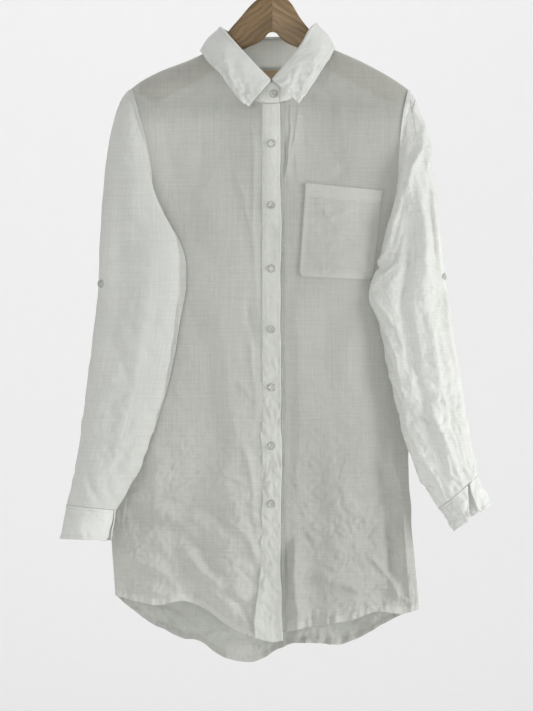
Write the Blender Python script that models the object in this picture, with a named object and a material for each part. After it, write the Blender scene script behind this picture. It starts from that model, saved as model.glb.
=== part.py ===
"""Linen shirt dress on a wooden hanger.

Frame: metres, +Z up. The origin is the inside top of the hanger's hook, where a rail carries it.
-Y is the front of the dress, and +X is the wearer's left.
Every cloth piece is a grid of points on the garment's surface, closed into a wall.
"""
import math

import bmesh
import bpy
import numpy as np

# Cloth walls and the gap that pieces keep from each other
WALL = 0.0012
BAND_WALL = 0.0016
SEAM_GAP = 0.0003
LAP_DROP = 0.0024

# Neck ring: centre, half width and heights of the seam at the sides, front and back
NECK_CENTRE_X = -0.004
NECK_HALF_WIDTH = 0.076
NECK_FRONT_Z = -0.2375
NECK_BACK_Z = -0.1800

# Main heights
YOKE_SEAM_Z = -0.238
UNDERARM_Z = -0.440
RIDGE_ROUNDING = 0.090

# Closure: the over band's seam and free edge, and the under band's edges
OVER_SEAM_X = -0.0155
OVER_FREE_X = 0.0120
UNDER_HIDDEN_X = -0.0125
UNDER_SEAM_X = 0.0190

# Buttons
STAND_BUTTON = (0.0020, -0.2235)
BAND_BUTTONS_Z = (-0.294, -0.381, -0.471, -0.557, -0.639, -0.722, -0.804)
BAND_BUTTON_X = -0.0012

# Hanger
HANGER_THICKNESS = 0.011
HANGER_JOINT_GAP = 0.0003
HOOK_WIRE = 0.0018
HOOK_RADIUS = 0.020

# Outer edge of the body below the shoulder: wearer's right (-X) and left (+X) side,
# how far the side seam lies back, and the depth of the front and back layers there
BODY = (
    # z, right_x, left_x, side_y, front_depth, back_depth
    (-0.200, -0.204, 0.200, 0.000, 0.030, 0.030),
    (-0.300, -0.205, 0.194, 0.010, 0.030, 0.030),
    (-0.440, -0.205, 0.189, 0.022, 0.040, 0.024),
    (-0.600, -0.212, 0.191, 0.022, 0.044, 0.028),
    (-0.730, -0.220, 0.194, 0.016, 0.042, 0.034),
    (-0.850, -0.2295, 0.2005, 0.006, 0.038, 0.038),
    (-0.930, -0.2250, 0.2080, 0.000, 0.036, 0.038),
    (-1.040, -0.2220, 0.2100, 0.000, 0.034, 0.036),
)

# Armhole edges of the front and of the back, from the shoulder point to the underarm
ARMHOLE = (
    # z, front_right_x, front_left_x, back_right_x, back_left_x
    (-0.2140, -0.2020, 0.1960, -0.2020, 0.1960),
    (-0.2450, -0.1935, 0.1890, -0.1970, 0.1910),
    (-0.2970, -0.1790, 0.1820, -0.1920, 0.1860),
    (-0.3400, -0.1715, 0.1790, -0.1900, 0.1830),
    (-0.3750, -0.1730, 0.1770, -0.1910, 0.1825),
    (-0.4100, -0.1860, 0.1800, -0.1960, 0.1840),
    (-0.4400, -0.2050, 0.1890, -0.2050, 0.1890),
)

# Line of the shoulders over the hanger's arms
RIDGE = (
    # x, z
    (-0.204, -0.2155),
    (-0.191, -0.2054),
    (-0.165, -0.1910),
    (-0.117, -0.1720),
    (-0.092, -0.1600),
    (-0.080, -0.1530),
    (0.000, -0.1180),
    (0.072, -0.1500),
    (0.089, -0.1580),
    (0.124, -0.1735),
    (0.174, -0.2010),
    (0.200, -0.2190),
)

# Hems, seen from the front
FRONT_HEM = (
    # x, z
    (-0.2240, -0.9360),
    (-0.1940, -0.9435),
    (-0.1555, -0.9480),
    (-0.1280, -0.9420),
    (-0.0944, -0.9550),
    (-0.0660, -0.9765),
    (-0.0294, -0.9930),
    (0.0077, -1.0000),
)
FRONT_HEM_LEFT = (
    # x, z
    (-0.0125, -0.9880),
    (0.0153, -0.9864),
    (0.0632, -0.9765),
    (0.1030, -0.9720),
    (0.1555, -0.9580),
    (0.1847, -0.9620),
    (0.2080, -0.9560),
)
BACK_HEM = (
    # x, z
    (-0.2240, -0.9360),
    (-0.1833, -0.9690),
    (-0.1280, -0.9990),
    (-0.1064, -1.0040),
    (-0.0755, -1.0230),
    (-0.0294, -1.0330),
    (-0.0107, -1.0280),
    (0.0078, -1.0150),
    (0.0320, -1.0070),
    (0.0878, -1.0090),
    (0.1123, -1.0050),
    (0.1431, -0.9870),
    (0.1740, -0.9690),
    (0.2080, -0.9560),
)

# Soft upright folds of the body: place at the hem, width, depth, and the height where each starts
BODY_FOLDS = (
    # x, width, front_depth, back_depth, top_z
    (-0.165, 0.030, 0.0040, -0.0030, -0.55),
    (-0.110, 0.034, -0.0050, 0.0060, -0.50),
    (-0.060, 0.026, 0.0040, -0.0045, -0.60),
    (-0.020, 0.030, 0.0000, 0.0070, -0.40),
    (0.055, 0.030, -0.0035, -0.0050, -0.55),
    (0.100, 0.034, 0.0045, 0.0060, -0.50),
    (0.150, 0.028, -0.0035, -0.0035, -0.60),
)

# Sleeve sections below the underarm: centre, tilt of the section's outer side, half sizes.
# The x values are for the wearer's right and are negative; the second table is the left sleeve.
SLEEVE_RIGHT = (
    # x, z, tilt_degrees, half_width, y, half_depth
    (-0.1845, -0.470, 0.0, 0.0620, -0.018, 0.028),
    (-0.1855, -0.500, 0.0, 0.0625, -0.020, 0.028),
    (-0.1915, -0.543, 0.0, 0.0605, -0.022, 0.028),
    (-0.1980, -0.587, 0.0, 0.0600, -0.023, 0.028),
    (-0.2055, -0.631, 0.0, 0.0580, -0.024, 0.028),
    (-0.2170, -0.684, 0.0, 0.0540, -0.025, 0.028),
    (-0.2275, -0.728, 0.0, 0.0495, -0.026, 0.028),
    (-0.2375, -0.762, 2.0, 0.0455, -0.027, 0.028),
    (-0.2480, -0.789, 4.0, 0.0400, -0.028, 0.027),
    (-0.2570, -0.809, 6.0, 0.0360, -0.028, 0.026),
)
SLEEVE_LEFT = (
    # x, z, tilt_degrees, half_width, y, half_depth
    (0.1985, -0.470, 0.0, 0.0445, -0.018, 0.028),
    (0.1940, -0.488, 0.0, 0.0510, -0.019, 0.028),
    (0.1927, -0.506, 0.0, 0.0557, -0.020, 0.028),
    (0.2041, -0.550, 0.0, 0.0521, -0.022, 0.028),
    (0.2117, -0.596, 0.0, 0.0517, -0.023, 0.028),
    (0.2216, -0.651, 0.0, 0.0498, -0.024, 0.028),
    (0.2304, -0.694, 2.0, 0.0480, -0.025, 0.028),
    (0.2395, -0.728, 6.0, 0.0452, -0.026, 0.028),
    (0.2470, -0.753, 16.0, 0.0425, -0.027, 0.028),
    (0.2555, -0.772, 29.0, 0.0395, -0.028, 0.027),
    (0.2634, -0.7875, 40.0, 0.0370, -0.028, 0.026),
)

# How the sleeve's cloth leaves the armhole, by place round it (0 shoulder, 0.5 underarm)
SLEEVE_START = (
    # place, outward, forward, downward
    (0.00, 1.00, 0.00, 0.05),
    (0.12, 0.70, 0.45, 0.35),
    (0.25, 0.15, 0.75, 0.60),
    (0.36, 0.00, 0.85, 0.50),
    (0.44, 0.45, 0.80, 0.35),
    (0.50, 0.65, 0.40, 0.60),
    (0.58, 0.85, 0.15, 0.45),
    (0.65, 0.85, 0.00, 0.50),
    (0.85, 0.95, -0.20, 0.25),
    (1.00, 1.00, 0.00, 0.05),
)
# How firmly the cloth keeps its direction on leaving the armhole, and on reaching the first section
SLEEVE_LEAVE = {-1: 0.120, 1: 0.074}
SLEEVE_REACH = 0.140
SLEEVE_EDGE_GAP = 0.0009
SLEEVE_CLEARANCE = 0.0035
SLEEVE_INSET = 0.012
UNDERARM_TURN = 285.0

# Long folds of the sleeves: place round the section, width and depth, and the heights they run between
SLEEVE_FOLDS_RIGHT = (
    # place, width, depth, top_z, low_z
    (0.16, 0.035, -0.0050, -0.300, -0.640),
    (0.27, 0.030, 0.0040, -0.420, -0.790),
    (0.72, 0.040, -0.0050, -0.480, -0.760),
)
SLEEVE_FOLDS_LEFT = (
    # place, width, depth, top_z, low_z
    (0.10, 0.030, -0.0060, -0.260, -0.620),
    (0.19, 0.026, 0.0050, -0.300, -0.700),
    (0.28, 0.030, -0.0070, -0.360, -0.760),
    (0.72, 0.040, -0.0050, -0.480, -0.760),
)

# Cuffs: where the lower edge lies, its tilt, its half width, and the place of the open slit
CUFFS = {
    # x, z, tilt_degrees, half_width, y, half_depth, slit_top_place, slit_low_place, slit_top, slit_low
    "cuff_right": (-0.2650, -0.8545, 3.0, 0.0380, -0.028, 0.027, 0.440, 0.440, 0.012, 0.050),
    "cuff_left": (0.2835, -0.8240, 36.0, 0.0345, -0.028, 0.027, 0.170, 0.240, 0.016, 0.085),
}
CUFF_GAP = 0.0005

# Collar leaf: its fold along the stand's top, and its free edge, from the right front round to the left
COLLAR = (
    # angle_degrees, fold_x, fold_y, fold_z, edge_x, edge_y, edge_z
    (-2.0, -0.0025, -0.0490, -0.2070, -0.0335, -0.0600, -0.2415),
    (20.0, -0.0260, -0.0450, -0.1830, -0.0480, -0.0570, -0.2310),
    (40.0, -0.0460, -0.0370, -0.1610, -0.0740, -0.0490, -0.1965),
    (64.0, -0.0660, -0.0220, -0.1380, -0.0930, -0.0330, -0.1750),
    (90.0, -0.0740, -0.0010, -0.1290, -0.1030, -0.0010, -0.1590),
    (120.0, -0.0640, 0.0250, -0.1330, -0.0900, 0.0400, -0.1680),
    (150.0, -0.0370, 0.0420, -0.1390, -0.0540, 0.0610, -0.1800),
    (180.0, -0.0040, 0.0460, -0.1400, -0.0040, 0.0670, -0.1850),
    (210.0, 0.0290, 0.0420, -0.1380, 0.0460, 0.0610, -0.1790),
    (240.0, 0.0540, 0.0250, -0.1310, 0.0800, 0.0400, -0.1660),
    (270.0, 0.0620, -0.0010, -0.1240, 0.0890, -0.0010, -0.1545),
    (296.0, 0.0530, -0.0220, -0.1330, 0.0800, -0.0330, -0.1740),
    (320.0, 0.0400, -0.0370, -0.1570, 0.0660, -0.0490, -0.1960),
    (340.0, 0.0200, -0.0450, -0.1820, 0.0470, -0.0570, -0.2250),
    (362.0, -0.0005, -0.0490, -0.2060, 0.0370, -0.0600, -0.2365),
)

# Pocket corners on the wearer's left front
POCKET = (
    # x, z
    (0.0469, -0.3493),
    (0.1572, -0.3597),
    (0.1420, -0.4862),
    (0.0376, -0.4819),
)
POCKET_BAND = 0.135
POCKET_GAP = 0.0012
POCKET_BAND_LIFT = 0.0006

# Neck label on the inside of the yoke
LABEL_X = (-0.0260, 0.0160)
LABEL_Z = (-0.1840, -0.2020)
LABEL_WALL = 0.0010
LABEL_SEAT = 0.0019

# Roll-tab buttons: sleeve, height
ROLL_BUTTON_Z = {"right": -0.492, "left": -0.482}
ROLL_BUTTON_ANGLE = {"right": 21.0, "left": 12.0}
BUTTON_SEAT = 0.0003
ROLL_BUTTON_SEAT = 0.0006

# Upper and lower edge of the hanger's wood; the dress hangs a little towards the wearer's right
HANGER_TOP = (
    # right_x, left_x, z
    (0.0000, 0.0000, -0.0780),
    (0.0125, 0.0125, -0.0808),
    (0.0257, 0.0249, -0.0892),
    (0.0470, 0.0400, -0.1130),
    (0.0615, 0.0533, -0.1300),
    (0.0700, 0.0620, -0.1425),
    (0.0770, 0.0695, -0.1545),
)
HANGER_LOW = (
    # x, z
    (0.000, -0.1325),
    (0.010, -0.1400),
    (0.040, -0.1570),
    (0.080, -0.1850),
    (0.130, -0.2130),
    (0.170, -0.2330),
    (0.190, -0.2330),
)
HANGER_TIP_X = 0.1905
HANGER_SEAT = 0.0012
HOOK_SEAT = 0.0003


def clear_scene():
    """Remove everything the new file holds."""
    for item in list(bpy.data.objects):
        bpy.data.objects.remove(item, do_unlink=True)


def spline(table, column, at, key=0):
    """Smooth curve through a table's column: cubic pieces whose slopes are those of the neighbours."""
    data = np.asarray(table, dtype=float)
    data = data[np.argsort(data[:, key])]
    xs = data[:, key]
    ys = data[:, column]
    at = np.clip(np.asarray(at, dtype=float), xs[0], xs[-1])
    step = np.diff(xs)
    rise = np.diff(ys) / step
    slope = np.empty_like(ys)
    slope[0] = rise[0]
    slope[-1] = rise[-1]
    slope[1:-1] = (rise[:-1] * step[1:] + rise[1:] * step[:-1]) / (step[1:] + step[:-1])
    place = np.clip(np.searchsorted(xs, at, side="right") - 1, 0, len(xs) - 2)
    width = step[place]
    t = (at - xs[place]) / width
    start = (2 * t ** 3 - 3 * t ** 2 + 1) * ys[place] + (t ** 3 - 2 * t ** 2 + t) * width * slope[place]
    end = (3 * t ** 2 - 2 * t ** 3) * ys[place + 1] + (t ** 3 - t ** 2) * width * slope[place + 1]
    return start + end


def smooth(low, high, at):
    """0 below low, 1 above high, and a soft S between."""
    t = np.clip((np.asarray(at, dtype=float) - low) / (high - low), 0.0, 1.0)
    return t * t * (3 - 2 * t)


def mix(a, b, t):
    return a + (b - a) * t


def bell(at, centre, width):
    """A soft hump of height 1."""
    return np.exp(-((at - centre) / width) ** 2)


def body_depth(x, z, front):
    """Distance of the front (or back) layer from the plane of the hanger."""
    right = spline(BODY, 1, z)
    left = spline(BODY, 2, z)
    side_y = spline(BODY, 3, z)
    depth = spline(BODY, 4 if front else 5, z)
    centre = (right + left) / 2
    s = np.clip((x - centre) / ((left - right) / 2), -1.0, 1.0)
    lens = np.sqrt(np.clip(1 - s * s, 0.0, 1.0))
    closed = smooth(-0.270, -0.430, z)
    share = mix(1.0, lens, closed)
    below = np.clip((spline(RIDGE, 1, x) - z) / RIDGE_ROUNDING, 0.0, 1.0)
    dome = np.sqrt(np.clip(1 - (1 - below) ** 2, 0.0, 1.0))
    neck_z = NECK_FRONT_Z if front else NECK_BACK_Z
    neck = 0.020 * bell(x, NECK_CENTRE_X, 0.048) * bell(z, neck_z, 0.12) * smooth(0.0, 0.5, below)
    away = side_y * np.abs(s) ** 4
    folds = np.zeros_like(s)
    for fold_x, width, front_fold, back_fold, top_z in BODY_FOLDS:
        size = front_fold if front else back_fold
        folds = folds + size * bell(x, fold_x, width) * smooth(top_z, top_z - 0.30, z) * lens
    if front:
        return depth * share * dome + neck + folds - away
    return depth * share * dome + neck + folds + away


def front_y(x, z):
    return -SEAM_GAP / 2 - body_depth(x, z, True)


def back_y(x, z):
    return SEAM_GAP / 2 + body_depth(x, z, False)


def under_drop(x, z):
    """The wearer's left front passes under the band, so it lies a little deeper at the centre, but not at
    the shoulder seam."""
    return LAP_DROP * bell(x, 0.0, 0.10) * smooth(0.0, 0.030, spline(RIDGE, 1, x) - z)


def grid_normals(points, closed):
    """Unit normals of a point grid; rows run down, columns run across, and closed joins the columns."""
    if closed:
        across = np.roll(points, -1, axis=1) - np.roll(points, 1, axis=1)
    else:
        across = np.gradient(points, axis=1)
    down = np.gradient(points, axis=0)
    normal = np.cross(across, down)
    length = np.linalg.norm(normal, axis=2, keepdims=True)
    return normal / np.maximum(length, 1e-12)


def wall(name, points, thickness, closed=False, turns=None):
    """Closed wall: the outer grid, an inner grid a thickness behind it, and rims along its edges.

    Where turns is set, the cloth rounds an edge between front and back, and its normal has no y part.
    """
    points = np.asarray(points, dtype=float)
    rows, columns = points.shape[:2]
    normal = grid_normals(points, closed)
    if turns is not None:
        normal[..., 1] = np.where(turns, 0.0, normal[..., 1])
        normal /= np.linalg.norm(normal, axis=2, keepdims=True)
    inner = points + normal * thickness
    coords = np.concatenate([points.reshape(-1, 3), inner.reshape(-1, 3)])
    offset = rows * columns
    faces = []

    def at(row, column):
        return row * columns + column % columns

    last = columns if closed else columns - 1
    for row in range(rows - 1):
        for column in range(last):
            a, b = at(row, column), at(row, column + 1)
            c, d = at(row + 1, column + 1), at(row + 1, column)
            faces.append((a, b, c, d))
            faces.append((offset + a, offset + d, offset + c, offset + b))
    for column in range(last):
        a, b = at(0, column), at(0, column + 1)
        faces.append((b, a, offset + a, offset + b))
        a, b = at(rows - 1, column), at(rows - 1, column + 1)
        faces.append((a, b, offset + b, offset + a))
    if not closed:
        for row in range(rows - 1):
            a, b = at(row, 0), at(row + 1, 0)
            faces.append((a, b, offset + b, offset + a))
            a, b = at(row, columns - 1), at(row + 1, columns - 1)
            faces.append((b, a, offset + a, offset + b))
    return solid(name, coords, faces)


def solid(name, coords, faces):
    """Mesh object whose faces point outwards, shaded smooth but for its sharp edges."""
    mesh = bpy.data.meshes.new(name)
    mesh.from_pydata([tuple(map(float, p)) for p in coords], [], faces)
    shape = bmesh.new()
    shape.from_mesh(mesh)
    bmesh.ops.recalc_face_normals(shape, faces=shape.faces[:])
    bmesh.ops.triangulate(shape, faces=shape.faces[:])
    shape.to_mesh(mesh)
    shape.free()
    mesh.shade_smooth()
    mesh.set_sharp_from_angle(angle=math.radians(40))
    item = bpy.data.objects.new(name, mesh)
    bpy.context.collection.objects.link(item)
    return item


def material(name, colour, roughness, metallic=0.0):
    found = bpy.data.materials.get(name)
    if found:
        return found
    made = bpy.data.materials.new(name)
    made.use_nodes = True
    shader = made.node_tree.nodes["Principled BSDF"]
    shader.inputs["Base Color"].default_value = (*colour, 1.0)
    shader.inputs["Roughness"].default_value = roughness
    shader.inputs["Metallic"].default_value = metallic
    return made


def linen(item):
    item.data.materials.append(material("linen", (0.62, 0.64, 0.60), 0.85))
    return item


def edge_x(z, side, front):
    """Armhole edge above the underarm, side seam below it."""
    column = (1 if side < 0 else 2) + (0 if front else 2)
    seam = spline(BODY, 1 if side < 0 else 2, z)
    return np.where(z > UNDERARM_Z, spline(ARMHOLE, column, z), seam)


def neck_side(side):
    """Where the neck seam meets the shoulder line."""
    x = NECK_CENTRE_X + side * NECK_HALF_WIDTH
    return x, spline(RIDGE, 1, x)


def neck_height(x, front):
    """Height of the neck seam over a place across the body, inside the neck."""
    share = np.clip((x - NECK_CENTRE_X) / NECK_HALF_WIDTH, -1.0, 1.0)
    side_z = np.where(share < 0, neck_side(-1)[1], neck_side(1)[1])
    low = NECK_FRONT_Z if front else NECK_BACK_Z
    return side_z + (low - side_z) * np.sqrt(1 - share ** 2)


def neck_start(centre_x, side):
    """Angle round the neck, from the middle, at which a front's closure edge meets the seam."""
    return math.asin((centre_x - NECK_CENTRE_X) * side / NECK_HALF_WIDTH)


# Columns of a front and of half the yoke: those along the shoulder, then those round the neck
SHOULDER_COLUMNS = 6
NECK_COLUMNS = 5
HALF_COLUMNS = SHOULDER_COLUMNS + NECK_COLUMNS
SHOULDER_SHARE = SHOULDER_COLUMNS / HALF_COLUMNS

# Rows of the panels, shared along the seams: shoulder to yoke seam, to the underarm, to the hem
UPPER_ROWS = 4
ARM_ROWS = 7
LOWER_ROWS = 12

# The columns stand closer at the shoulder end of the neck, where the seam turns steeply down
NECK_SPACING = 1.7


def shoulder_end(side, front):
    """The x where the armhole's edge meets the shoulder line."""
    x = edge_x(np.array(ARMHOLE[0][0]), side, front)
    for _ in range(4):
        x = edge_x(spline(RIDGE, 1, x), side, front)
    return x


def top_edge(u, side, centre_x, front):
    """Shoulder seam from the armhole to the neck, then the neck seam to the centre."""
    shoulder_x = shoulder_end(side, front)
    neck_x = neck_side(side)[0]
    along = np.clip((u - SHOULDER_SHARE) / (1 - SHOULDER_SHARE), 0.0, 1.0) ** NECK_SPACING
    angle = mix(math.pi / 2, neck_start(centre_x, side), along)
    x_neck = NECK_CENTRE_X + side * NECK_HALF_WIDTH * np.sin(angle)
    x_shoulder = mix(shoulder_x, neck_x, np.clip(u / SHOULDER_SHARE, 0.0, 1.0))
    on_shoulder = u < SHOULDER_SHARE + 1e-9
    x = np.where(on_shoulder, x_shoulder, x_neck)
    z = np.where(on_shoulder, spline(RIDGE, 1, x), neck_height(x, front))
    return x, z


def panel_levels(start_z, hem_z, front):
    """Levels down a panel whose side edge has the same rows as its neighbour's."""
    arm = np.linspace(YOKE_SEAM_Z - SEAM_GAP, UNDERARM_Z, ARM_ROWS)
    low = np.linspace(UNDERARM_Z, hem_z, LOWER_ROWS)[1:]
    rows = [arm, low]
    if front:
        rows.insert(0, mix(start_z, arm[0], np.linspace(0.0, 1.0, UPPER_ROWS) ** 2)[:-1])
    return (np.concatenate(rows) - start_z) / (hem_z - start_z)


def front_grid(side):
    """Outer points of one front, from its side and armhole edge to its edge at the closure."""
    right = side < 0
    centre_x = OVER_SEAM_X if right else UNDER_SEAM_X
    hem = FRONT_HEM if right else FRONT_HEM_LEFT
    u = np.linspace(0.0, 1.0, HALF_COLUMNS + 1)[None, :]
    top_x, top_z = top_edge(u, side, centre_x, True)
    shoulder_z = top_z[0, 0]
    side_x = spline(BODY, 1 if right else 2, np.array(-0.94))
    hem_x = mix(side_x, centre_x, 1 - np.cos(u * math.pi / 2))
    hem_z = spline(hem, 1, hem_x)
    v = panel_levels(shoulder_z, hem_z[0, 0], True)[:, None]
    z = mix(top_z, hem_z, v)
    left_z = mix(shoulder_z, hem_z[0, 0], v)
    spread = mix((top_x - top_x[0, 0]) / (top_x[0, -1] - top_x[0, 0]),
                 1 - np.cos(u * math.pi / 2), smooth(0.30, 0.42, v))
    x = mix(edge_x(left_z, side, True), centre_x, spread)
    y = front_y(x, z) + (0.0 if right else under_drop(x, z))
    return oriented(np.stack(np.broadcast_arrays(x, y, z), axis=2), right)


def turning(points):
    """Points on the shoulder line and on the side seams, where front and back meet edge to edge."""
    x = points[..., 0]
    z = points[..., 2]
    beside_neck = np.abs(x - NECK_CENTRE_X) > NECK_HALF_WIDTH - 0.004
    on_ridge = (np.abs(z - spline(RIDGE, 1, x)) < 0.0002) & beside_neck
    side = np.where(x < 0, spline(BODY, 1, z), spline(BODY, 2, z))
    on_side = (np.abs(x - side) < 0.0002) & (z < UNDERARM_Z + 0.002)
    return on_ridge | on_side


def oriented(points, keep):
    """Columns run from the wearer's right to the left, so every front wall grows inwards."""
    return points if keep else points[:, ::-1]


YOKE_LEVELS = (0.0, 0.02, 0.14, 0.45, 1.0)


def yoke_grid():
    """Yoke: shoulder seams and back neck along its top, and the yoke seam across the back."""
    u = np.linspace(0.0, 1.0, 2 * HALF_COLUMNS + 1)[None, :]
    v = np.array(YOKE_LEVELS)[:, None]
    half = np.where(u < 0.5, u * 2, (1 - u) * 2)
    right_x, right_z = top_edge(half, -1, NECK_CENTRE_X, False)
    left_x, left_z = top_edge(half, 1, NECK_CENTRE_X, False)
    top_x = np.where(u < 0.5, right_x, left_x)
    top_z = np.where(u < 0.5, right_z, left_z)
    low_z = np.full_like(top_z, YOKE_SEAM_Z)
    low_x = mix(edge_x(np.array(YOKE_SEAM_Z), -1, False), edge_x(np.array(YOKE_SEAM_Z), 1, False), u)
    z = mix(top_z, low_z, v)
    x = mix(top_x, low_x, smooth(0.0, 1.0, v))
    right = edge_x(mix(top_z[0, 0], YOKE_SEAM_Z, v), -1, False)
    left = edge_x(mix(top_z[0, -1], YOKE_SEAM_Z, v), 1, False)
    x = x + (right - x[:, :1]) * (1 - u) ** 2 + (left - x[:, -1:]) * u ** 2
    y = back_y(x, z)
    return np.stack(np.broadcast_arrays(x, y, z), axis=2)[:, ::-1]


def back_grid(columns):
    """Back below the yoke, down to the longer shirt-tail hem."""
    u = np.linspace(0.0, 1.0, columns)[None, :]
    round_share = (1 - np.cos(u * math.pi)) / 2
    hem_right = spline(BODY, 1, np.array(-0.94))
    hem_left = spline(BODY, 2, np.array(-0.94))
    hem_z = spline(BACK_HEM, 1, mix(hem_right, hem_left, round_share))
    top_z = YOKE_SEAM_Z - SEAM_GAP
    right_v = panel_levels(top_z, hem_z[0, 0], False)[:, None]
    left_v = panel_levels(top_z, hem_z[0, -1], False)[:, None]
    v = mix(right_v, left_v, u)
    z = mix(top_z, hem_z, v)
    right = edge_x(z[:, :1], -1, False)
    left = edge_x(z[:, -1:], 1, False)
    spread = mix(u, round_share, smooth(0.0, 0.28, v))
    x = mix(right, left, spread)
    y = back_y(x, z)
    return np.stack(np.broadcast_arrays(x, y, z), axis=2)[:, ::-1]


def over_band_grid(columns, rows):
    """Button band on the wearer's right front, from the stand to the hem."""
    u = np.linspace(0.0, 1.0, columns)[None, :]
    v = np.linspace(0.0, 1.0, rows)[:, None]
    x = mix(OVER_SEAM_X + SEAM_GAP, OVER_FREE_X, u)
    top_z = neck_height(x, True)
    low_z = spline(FRONT_HEM, 1, x)
    z = mix(top_z, low_z, v)
    y = front_y(x, z) - 0.0003
    return np.stack(np.broadcast_arrays(x, y, z), axis=2)


def under_band_grid(columns, rows):
    """Band on the wearer's left front, under the first one."""
    u = np.linspace(0.0, 1.0, columns)[None, :]
    v = np.linspace(0.0, 1.0, rows)[:, None]
    x = mix(UNDER_HIDDEN_X, UNDER_SEAM_X - SEAM_GAP, u)
    z = mix(neck_height(x, True), spline(FRONT_HEM_LEFT, 1, x), v)
    y = front_y(x, z) + LAP_DROP - 0.0003
    return np.stack(np.broadcast_arrays(x, y, z), axis=2)


def collar_fold(angle):
    """Centre line of the stand's top edge."""
    return np.stack([spline(COLLAR, column, angle) for column in (1, 2, 3)], axis=-1)


def seam_line(angle):
    """Neck seam in space, from 0 in front by the wearer's right; its last part lies under the first."""
    turn = np.radians(angle)
    x = NECK_CENTRE_X - NECK_HALF_WIDTH * np.sin(turn)
    facing_front = np.cos(turn) > 0
    z = np.where(facing_front, neck_height(x, True), neck_height(x, False))
    y = np.where(facing_front, front_y(x, z), back_y(x, z))
    y = y + np.where(facing_front & (angle > 180), under_drop(x, z), 0.0)
    return np.stack([x, y, z], axis=-1)


STAND_OVER_END = -10.0
STAND_UNDER_END = 372.0
LEAF_OVER_END = -2.0
LEAF_UNDER_END = 362.0
STAND_LIFT = 0.0018


def stand_angles():
    """Angles of the panels' own columns round the neck, so that the seams fit."""
    share = np.linspace(0.0, 1.0, NECK_COLUMNS + 1) ** NECK_SPACING
    right = math.degrees(neck_start(OVER_SEAM_X, -1))
    left = 360.0 - math.degrees(neck_start(UNDER_SEAM_X, 1))
    return np.concatenate([
        mix(90.0, right, share)[::-1],
        mix(90.0, 180.0, share)[1:],
        mix(270.0, 180.0, share)[-2::-1],
        mix(270.0, left, share)[1:],
    ])


def stand_grid(rows):
    """Collar stand from its over end in front, round the back, to its under end."""
    ends = [LEAF_UNDER_END, STAND_UNDER_END]
    angle = np.concatenate([[STAND_OVER_END, LEAF_OVER_END], stand_angles(), ends])
    low = seam_line(angle)
    top = collar_fold(np.clip(angle, LEAF_OVER_END, LEAF_UNDER_END))
    over = np.clip(LEAF_OVER_END - angle, 0.0, None) / (LEAF_OVER_END - STAND_OVER_END)
    under = np.clip(angle - LEAF_UNDER_END, 0.0, None) / (STAND_UNDER_END - LEAF_UNDER_END)
    top[:, 0] += 0.0125 * over - 0.0125 * under
    top[:, 2] += -0.0090 * over - 0.0040 * under
    top[:, 1] += LAP_DROP * smooth(300.0, 345.0, angle)
    low[:, 2] += STAND_LIFT
    v = np.linspace(1.0, 0.0, rows)[:, None, None]
    return mix(low[None], top[None], v)[:, ::-1]


# Roll of the collar over the stand's top edge, outwards and upwards from it
COLLAR_ROLL = (
    # out, up
    (-0.0016, 0.0009),
    (-0.0013, 0.0032),
    (0.0004, 0.0042),
    (0.0026, 0.0036),
    (0.0036, 0.0010),
)
COLLAR_BELLY = 0.0035


def leaf_grid(rows):
    """Collar leaf: it starts on the stand, rolls over, and falls to its free edge."""
    angle = np.concatenate([[LEAF_OVER_END], stand_angles(), [LEAF_UNDER_END]])
    fold = collar_fold(angle)
    edge = np.stack([spline(COLLAR, column, angle) for column in (4, 5, 6)], axis=-1)
    run = np.gradient(fold, axis=0)
    out = np.stack([-run[:, 1], run[:, 0], np.zeros(len(angle))], axis=-1)
    out /= np.linalg.norm(out, axis=1, keepdims=True)
    drop = LAP_DROP * smooth(300.0, 345.0, angle)[:, None]
    lines = []
    for place, (reach, up) in enumerate(COLLAR_ROLL):
        lag = drop * (1 - place / (len(COLLAR_ROLL) - 1))
        lines.append(fold + out * (reach - lag) + np.array([0.0, 0.0, up]))
    start = lines[-1]
    for share in np.linspace(0.0, 1.0, rows + 1)[1:]:
        belly = COLLAR_BELLY * math.sin(math.pi * share)
        lines.append(mix(start, edge, share) + out * belly)
    return np.stack(lines)[:, ::-1]


def left_front_y(x, z):
    return front_y(x, z) + under_drop(x, z)


def pocket_grid(columns, rows):
    """Pocket made from the panel's own points, moved out; its hemmed top stands a little prouder."""
    u = np.linspace(0.0, 1.0, columns)[None, :]
    levels = np.concatenate([[0.0, POCKET_BAND - 0.012, POCKET_BAND + 0.004],
                             np.linspace(POCKET_BAND + 0.004, 1.0, rows)[1:]])
    v = levels[:, None]
    (ax, az), (bx, bz), (cx, cz), (dx, dz) = POCKET
    x = mix(mix(ax, bx, u), mix(dx, cx, u), v)
    z = mix(mix(az, bz, u), mix(dz, cz, u), v)
    band = np.where(v < POCKET_BAND, POCKET_BAND_LIFT, 0.0)
    y = left_front_y(x, z) - POCKET_GAP - WALL - band
    return np.stack(np.broadcast_arrays(x, y, z), axis=2)


# Places round the armhole between which the sleeve has twice the panels' points
ARM_SPLIT = (0.20, 0.60)


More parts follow.
